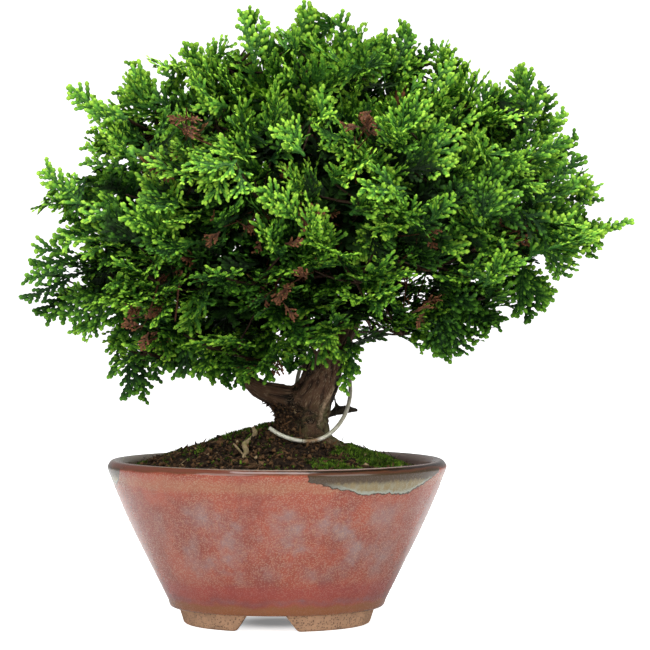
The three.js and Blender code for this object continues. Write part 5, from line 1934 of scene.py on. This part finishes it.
places = drawn_in(THIRD_DEPTH)
for index in thinned(places, THIRD_SPACING, leaf_rng):
    forward, facing, _ = fan_pose(places[index], leaf_rng)
    fan = SHADE_FANS[leaf_rng.integers(3, 8)]
    foot = places[index] - forward * length_of(fan) * THIRD_SIZE
    # Painted shade: the third layer takes the two darkest shade tones, and a few fans are dead.
    dead = leaf_rng.random() < DEAD_SHARE
    tone = DEAD_TONE if dead else int(leaf_rng.integers(SHADE_TONE, DARKEST_SHADE_TONE + 1))
    hang_fan(foot, forward, facing, fan, tone, leaf_rng, size=THIRD_SIZE, bays=LACE_BAYS)

# The bottom of the crown is thin, so it gets fans of its own between the pads, painted in the darkest shade
# tone.
THIN_COUNT, THIN_LOW, THIN_HIGH = 90, (-70, -14, 130), (45, 22, 156)
for _ in range(THIN_COUNT):
    place = leaf_rng.uniform(THIN_LOW, THIN_HIGH)
    forward = unit(leaf_rng.normal(size=3) * (1, 1, 0.35) + (0, 0, 0.35))
    facing = unit(leaf_rng.normal(size=3) - (0, 1.5, 0))
    hang_fan(place, forward, facing, SHADE_FANS[2], DARKEST_SHADE_TONE, leaf_rng, size=1.4)

# Two more, painted in the darkest shade tone, stand behind thin places near the right-hand top.
THIN_TOP = [(101.0, 2.0, 203.0), (97.0, 6.0, 206.0)]
for place in np.array(THIN_TOP):
    forward, facing = np.array([0.2, 0, 1.0]), np.array([0, -1.0, 0])
    hang_fan(place, forward, facing, SHADE_FANS[4], DARKEST_SHADE_TONE, leaf_rng, size=1.5)

deep_count = 0
for depth in DEEP_DEPTHS:
    places = drawn_in(depth)
    for index in thinned(places, DEEP_SPACING / depth**0.5, leaf_rng):
        forward, facing, out = fan_pose(places[index], leaf_rng)
        fan = SHADE_FANS[leaf_rng.integers(1, 5)]
        foot = places[index] - forward * length_of(fan) * DEEP_REACH
        facing = unit(facing + out * 0.8)
        # Painted shade: the deep fans are painted nearly black.
        hang_fan(foot, forward, facing, fan, DARKEST_SHADE_TONE, leaf_rng, size=DEEP_SIZE, bays=LACE_BAYS)
        deep_count += 1
print("fans deep inside:", deep_count)

# %% The dead fans in the hollows
DEAD_PER_HOLLOW, TWIGS_PER_HOLLOW = 7, 5
DEAD_SIZE = 0.55

for middle, radius in HOLLOWS:
    middle = np.array(middle, float)
    out = unit((middle - CROWN_MIDDLE) / CROWN_HALF**2)
    for _ in range(DEAD_PER_HOLLOW):
        place = middle - out * leaf_rng.uniform(10, 20) + leaf_rng.normal(size=3) * radius * 0.5
        forward = unit(leaf_rng.normal(size=3) * (1, 0.5, 0.6) + out * 0.4 - (0, 0, 0.2))
        fan = SHADE_FANS[leaf_rng.integers(4)]
        tone = DEAD_TONE if leaf_rng.random() < 0.7 else SHADE_TONE
        facing = unit(out + leaf_rng.normal(size=3) * 0.5)
        hang_fan(place, forward, facing, fan, tone, leaf_rng, size=DEAD_SIZE)
    for _ in range(TWIGS_PER_HOLLOW):
        start = middle - out * 34 + leaf_rng.normal(size=3) * 6
        end = middle - out * leaf_rng.uniform(10, 18) + leaf_rng.normal(size=3) * radius * 0.6
        twig = twig_to(start, end, leaf_rng.uniform(0.3, 0.6), DEAD_TONE)
        pad_parts[nearest_pad(middle - out * 12)].append(twig)
print("hollows:", len(HOLLOWS))

# %% The dead fans under the crown

# Place in millimetres from the pot's axis, and heading in degrees from the right.
DEAD_FANS = [
    (3, -14, 118, -86), (1, -12, 119, -100), (-6, -16, 117, 200),
    (-9, -15, 118, 214), (-52, -14, 133, 260), (-46, -12, 131, 236),
]
for *place, heading in DEAD_FANS:
    forward, foot = heading_at(heading, -0.2), np.array(place, float)
    facing = unit(leaf_rng.normal(size=3) * 0.4 - (0, 1, 0))
    hang_fan(foot, forward, facing, SHADE_FANS[1], DEAD_TONE, leaf_rng, size=0.6)
print("dead fans in sight:", len(DEAD_FANS))

# %% Make the pads


def pad_piece(node):
    """Everything that hangs on one branch, as one piece that stands for the frame's pad."""
    points, faces = joined_parts([part[:2] for part in pad_parts[node]])
    spots = np.concatenate([part[2] for part in pad_parts[node]])
    return new_piece(node.replace("foliage", "sprays"), points, faces, leaf, "scale_leaf", [node], spots)


pads = [pad_piece(node) for node in PAD_NODES]
largest_pad = max(len(pad.data.polygons) for pad in pads)
print(f"foliage: {sum(len(pad.data.polygons) for pad in pads)} triangles, {largest_pad} in the largest pad")

# %% [markdown]
# ## Floor, light and camera
#
# The tree stands on a pale sheet that curves up behind it, in soft light from a big window on the
# left, with a weaker one from the right. The camera is far away with a long lens, level with the
# bottom of the crown, so that nothing looks stretched.

# %% The sheet
SHEET_WIDTH, SHEET_FRONT, SHEET_BACK = 16000.0, -7000.0, 6000.0
SHEET_WALL, SHEET_BEND = 6000.0, 1500.0
SHEET_GLOW, SHADOW_GLOW_UNDER_POT = 0.88, 0.22
PAPER_GREY, PAPER_WHITE = (0.90, 0.90, 0.90), (0.93, 0.93, 0.93)


def studio_sheet():
    """A floor that curves up into a backdrop."""
    turn = np.linspace(0, math.pi / 2, 16)
    bend_y = SHEET_BACK - SHEET_BEND + SHEET_BEND * np.sin(turn)
    bend_z = SHEET_BEND - SHEET_BEND * np.cos(turn)
    line = [(SHEET_FRONT, 0.0), *zip(bend_y, bend_z), (SHEET_BACK, SHEET_WALL)]
    points = np.array([(x, y, z) for y, z in line for x in (-SHEET_WIDTH / 2, SHEET_WIDTH / 2)])
    return points, grid_faces(len(line), 2, wrap=False)


def pale_paper():
    material, tree, shader = new_material("pale_paper")
    tooth = mottled(tree, position(tree), 60.0, 0.5, 0.4)
    seen = add_node(tree, "ShaderNodeLightPath").outputs["Is Camera Ray"]
    # Painted shadow: the sheet's glow for the camera is weaker right under the pot.
    clear = rise(tree, pot_measures(tree)[2], 8.0, 36.0)
    glow = times_plus(tree, clear, SHEET_GLOW - SHADOW_GLOW_UNDER_POT, SHADOW_GLOW_UNDER_POT)
    colour = blend(tree, tooth, PAPER_GREY, PAPER_WHITE)
    fill(tree, shader, Base_Color=colour, Roughness=0.9)
    fill(tree, shader, Emission_Color=(1, 1, 1, 1), Emission_Strength=times(tree, seen, glow))
    return material


sheet = new_piece("studio_sheet", *studio_sheet(), pale_paper(), "earth")
print("sheet:", len(sheet.data.polygons), "faces")

# %% The lights and the world
LIGHTS_AIM = (20, 0, 140)
SKY = 0.36


def aimed(thing, place_mm, aim_mm):
    """Puts a light or a camera at a place and turns it to another, in millimetres from the pot's axis."""
    thing.location = np.array(place_mm) * MM + POT_AXIS
    aim = Vector(np.array(aim_mm) * MM + POT_AXIS) - thing.location
    thing.rotation_euler = aim.to_track_quat("-Z", "Y").to_euler()
    bpy.context.scene.collection.objects.link(thing)


def window(name, place_mm, width, height, power):
    """A soft rectangular light."""
    light = bpy.data.lights.new(name, "AREA")
    light.shape = "RECTANGLE"
    light.size, light.size_y, light.energy = width * MM, height * MM, power
    aimed(bpy.data.objects.new(name, light), place_mm, LIGHTS_AIM)


window("window_left", (-800, -1000, 1000), 1000, 1000, 15)
window("window_right", (1000, -800, 700), 800, 900, 9)
window("window_top", (0, -200, 1300), 800, 800, 19)

world = bpy.data.worlds.new("studio")
world.use_nodes = True
fill(world.node_tree, world.node_tree.nodes["Background"], Color=(1, 1, 1, 1), Strength=SKY)
bpy.context.scene.world = world
bpy.context.scene.view_settings.view_transform = "Standard"
print("lights:", len(bpy.data.lights))

# %% The camera
CAMERA_PLACE = (21.35, -1464.5, 165.0)
CAMERA_AIM = (21.35, 0.0, 132.1)
LENS, SENSOR = 182.8, 36.0

camera = bpy.data.objects.new("camera", bpy.data.cameras.new("camera"))
camera.data.lens, camera.data.sensor_width = LENS, SENSOR
camera.data.clip_end = 50.0
aimed(camera, CAMERA_PLACE, CAMERA_AIM)
bpy.context.scene.camera = camera
print("camera:", tuple(round(v, 3) for v in camera.location))
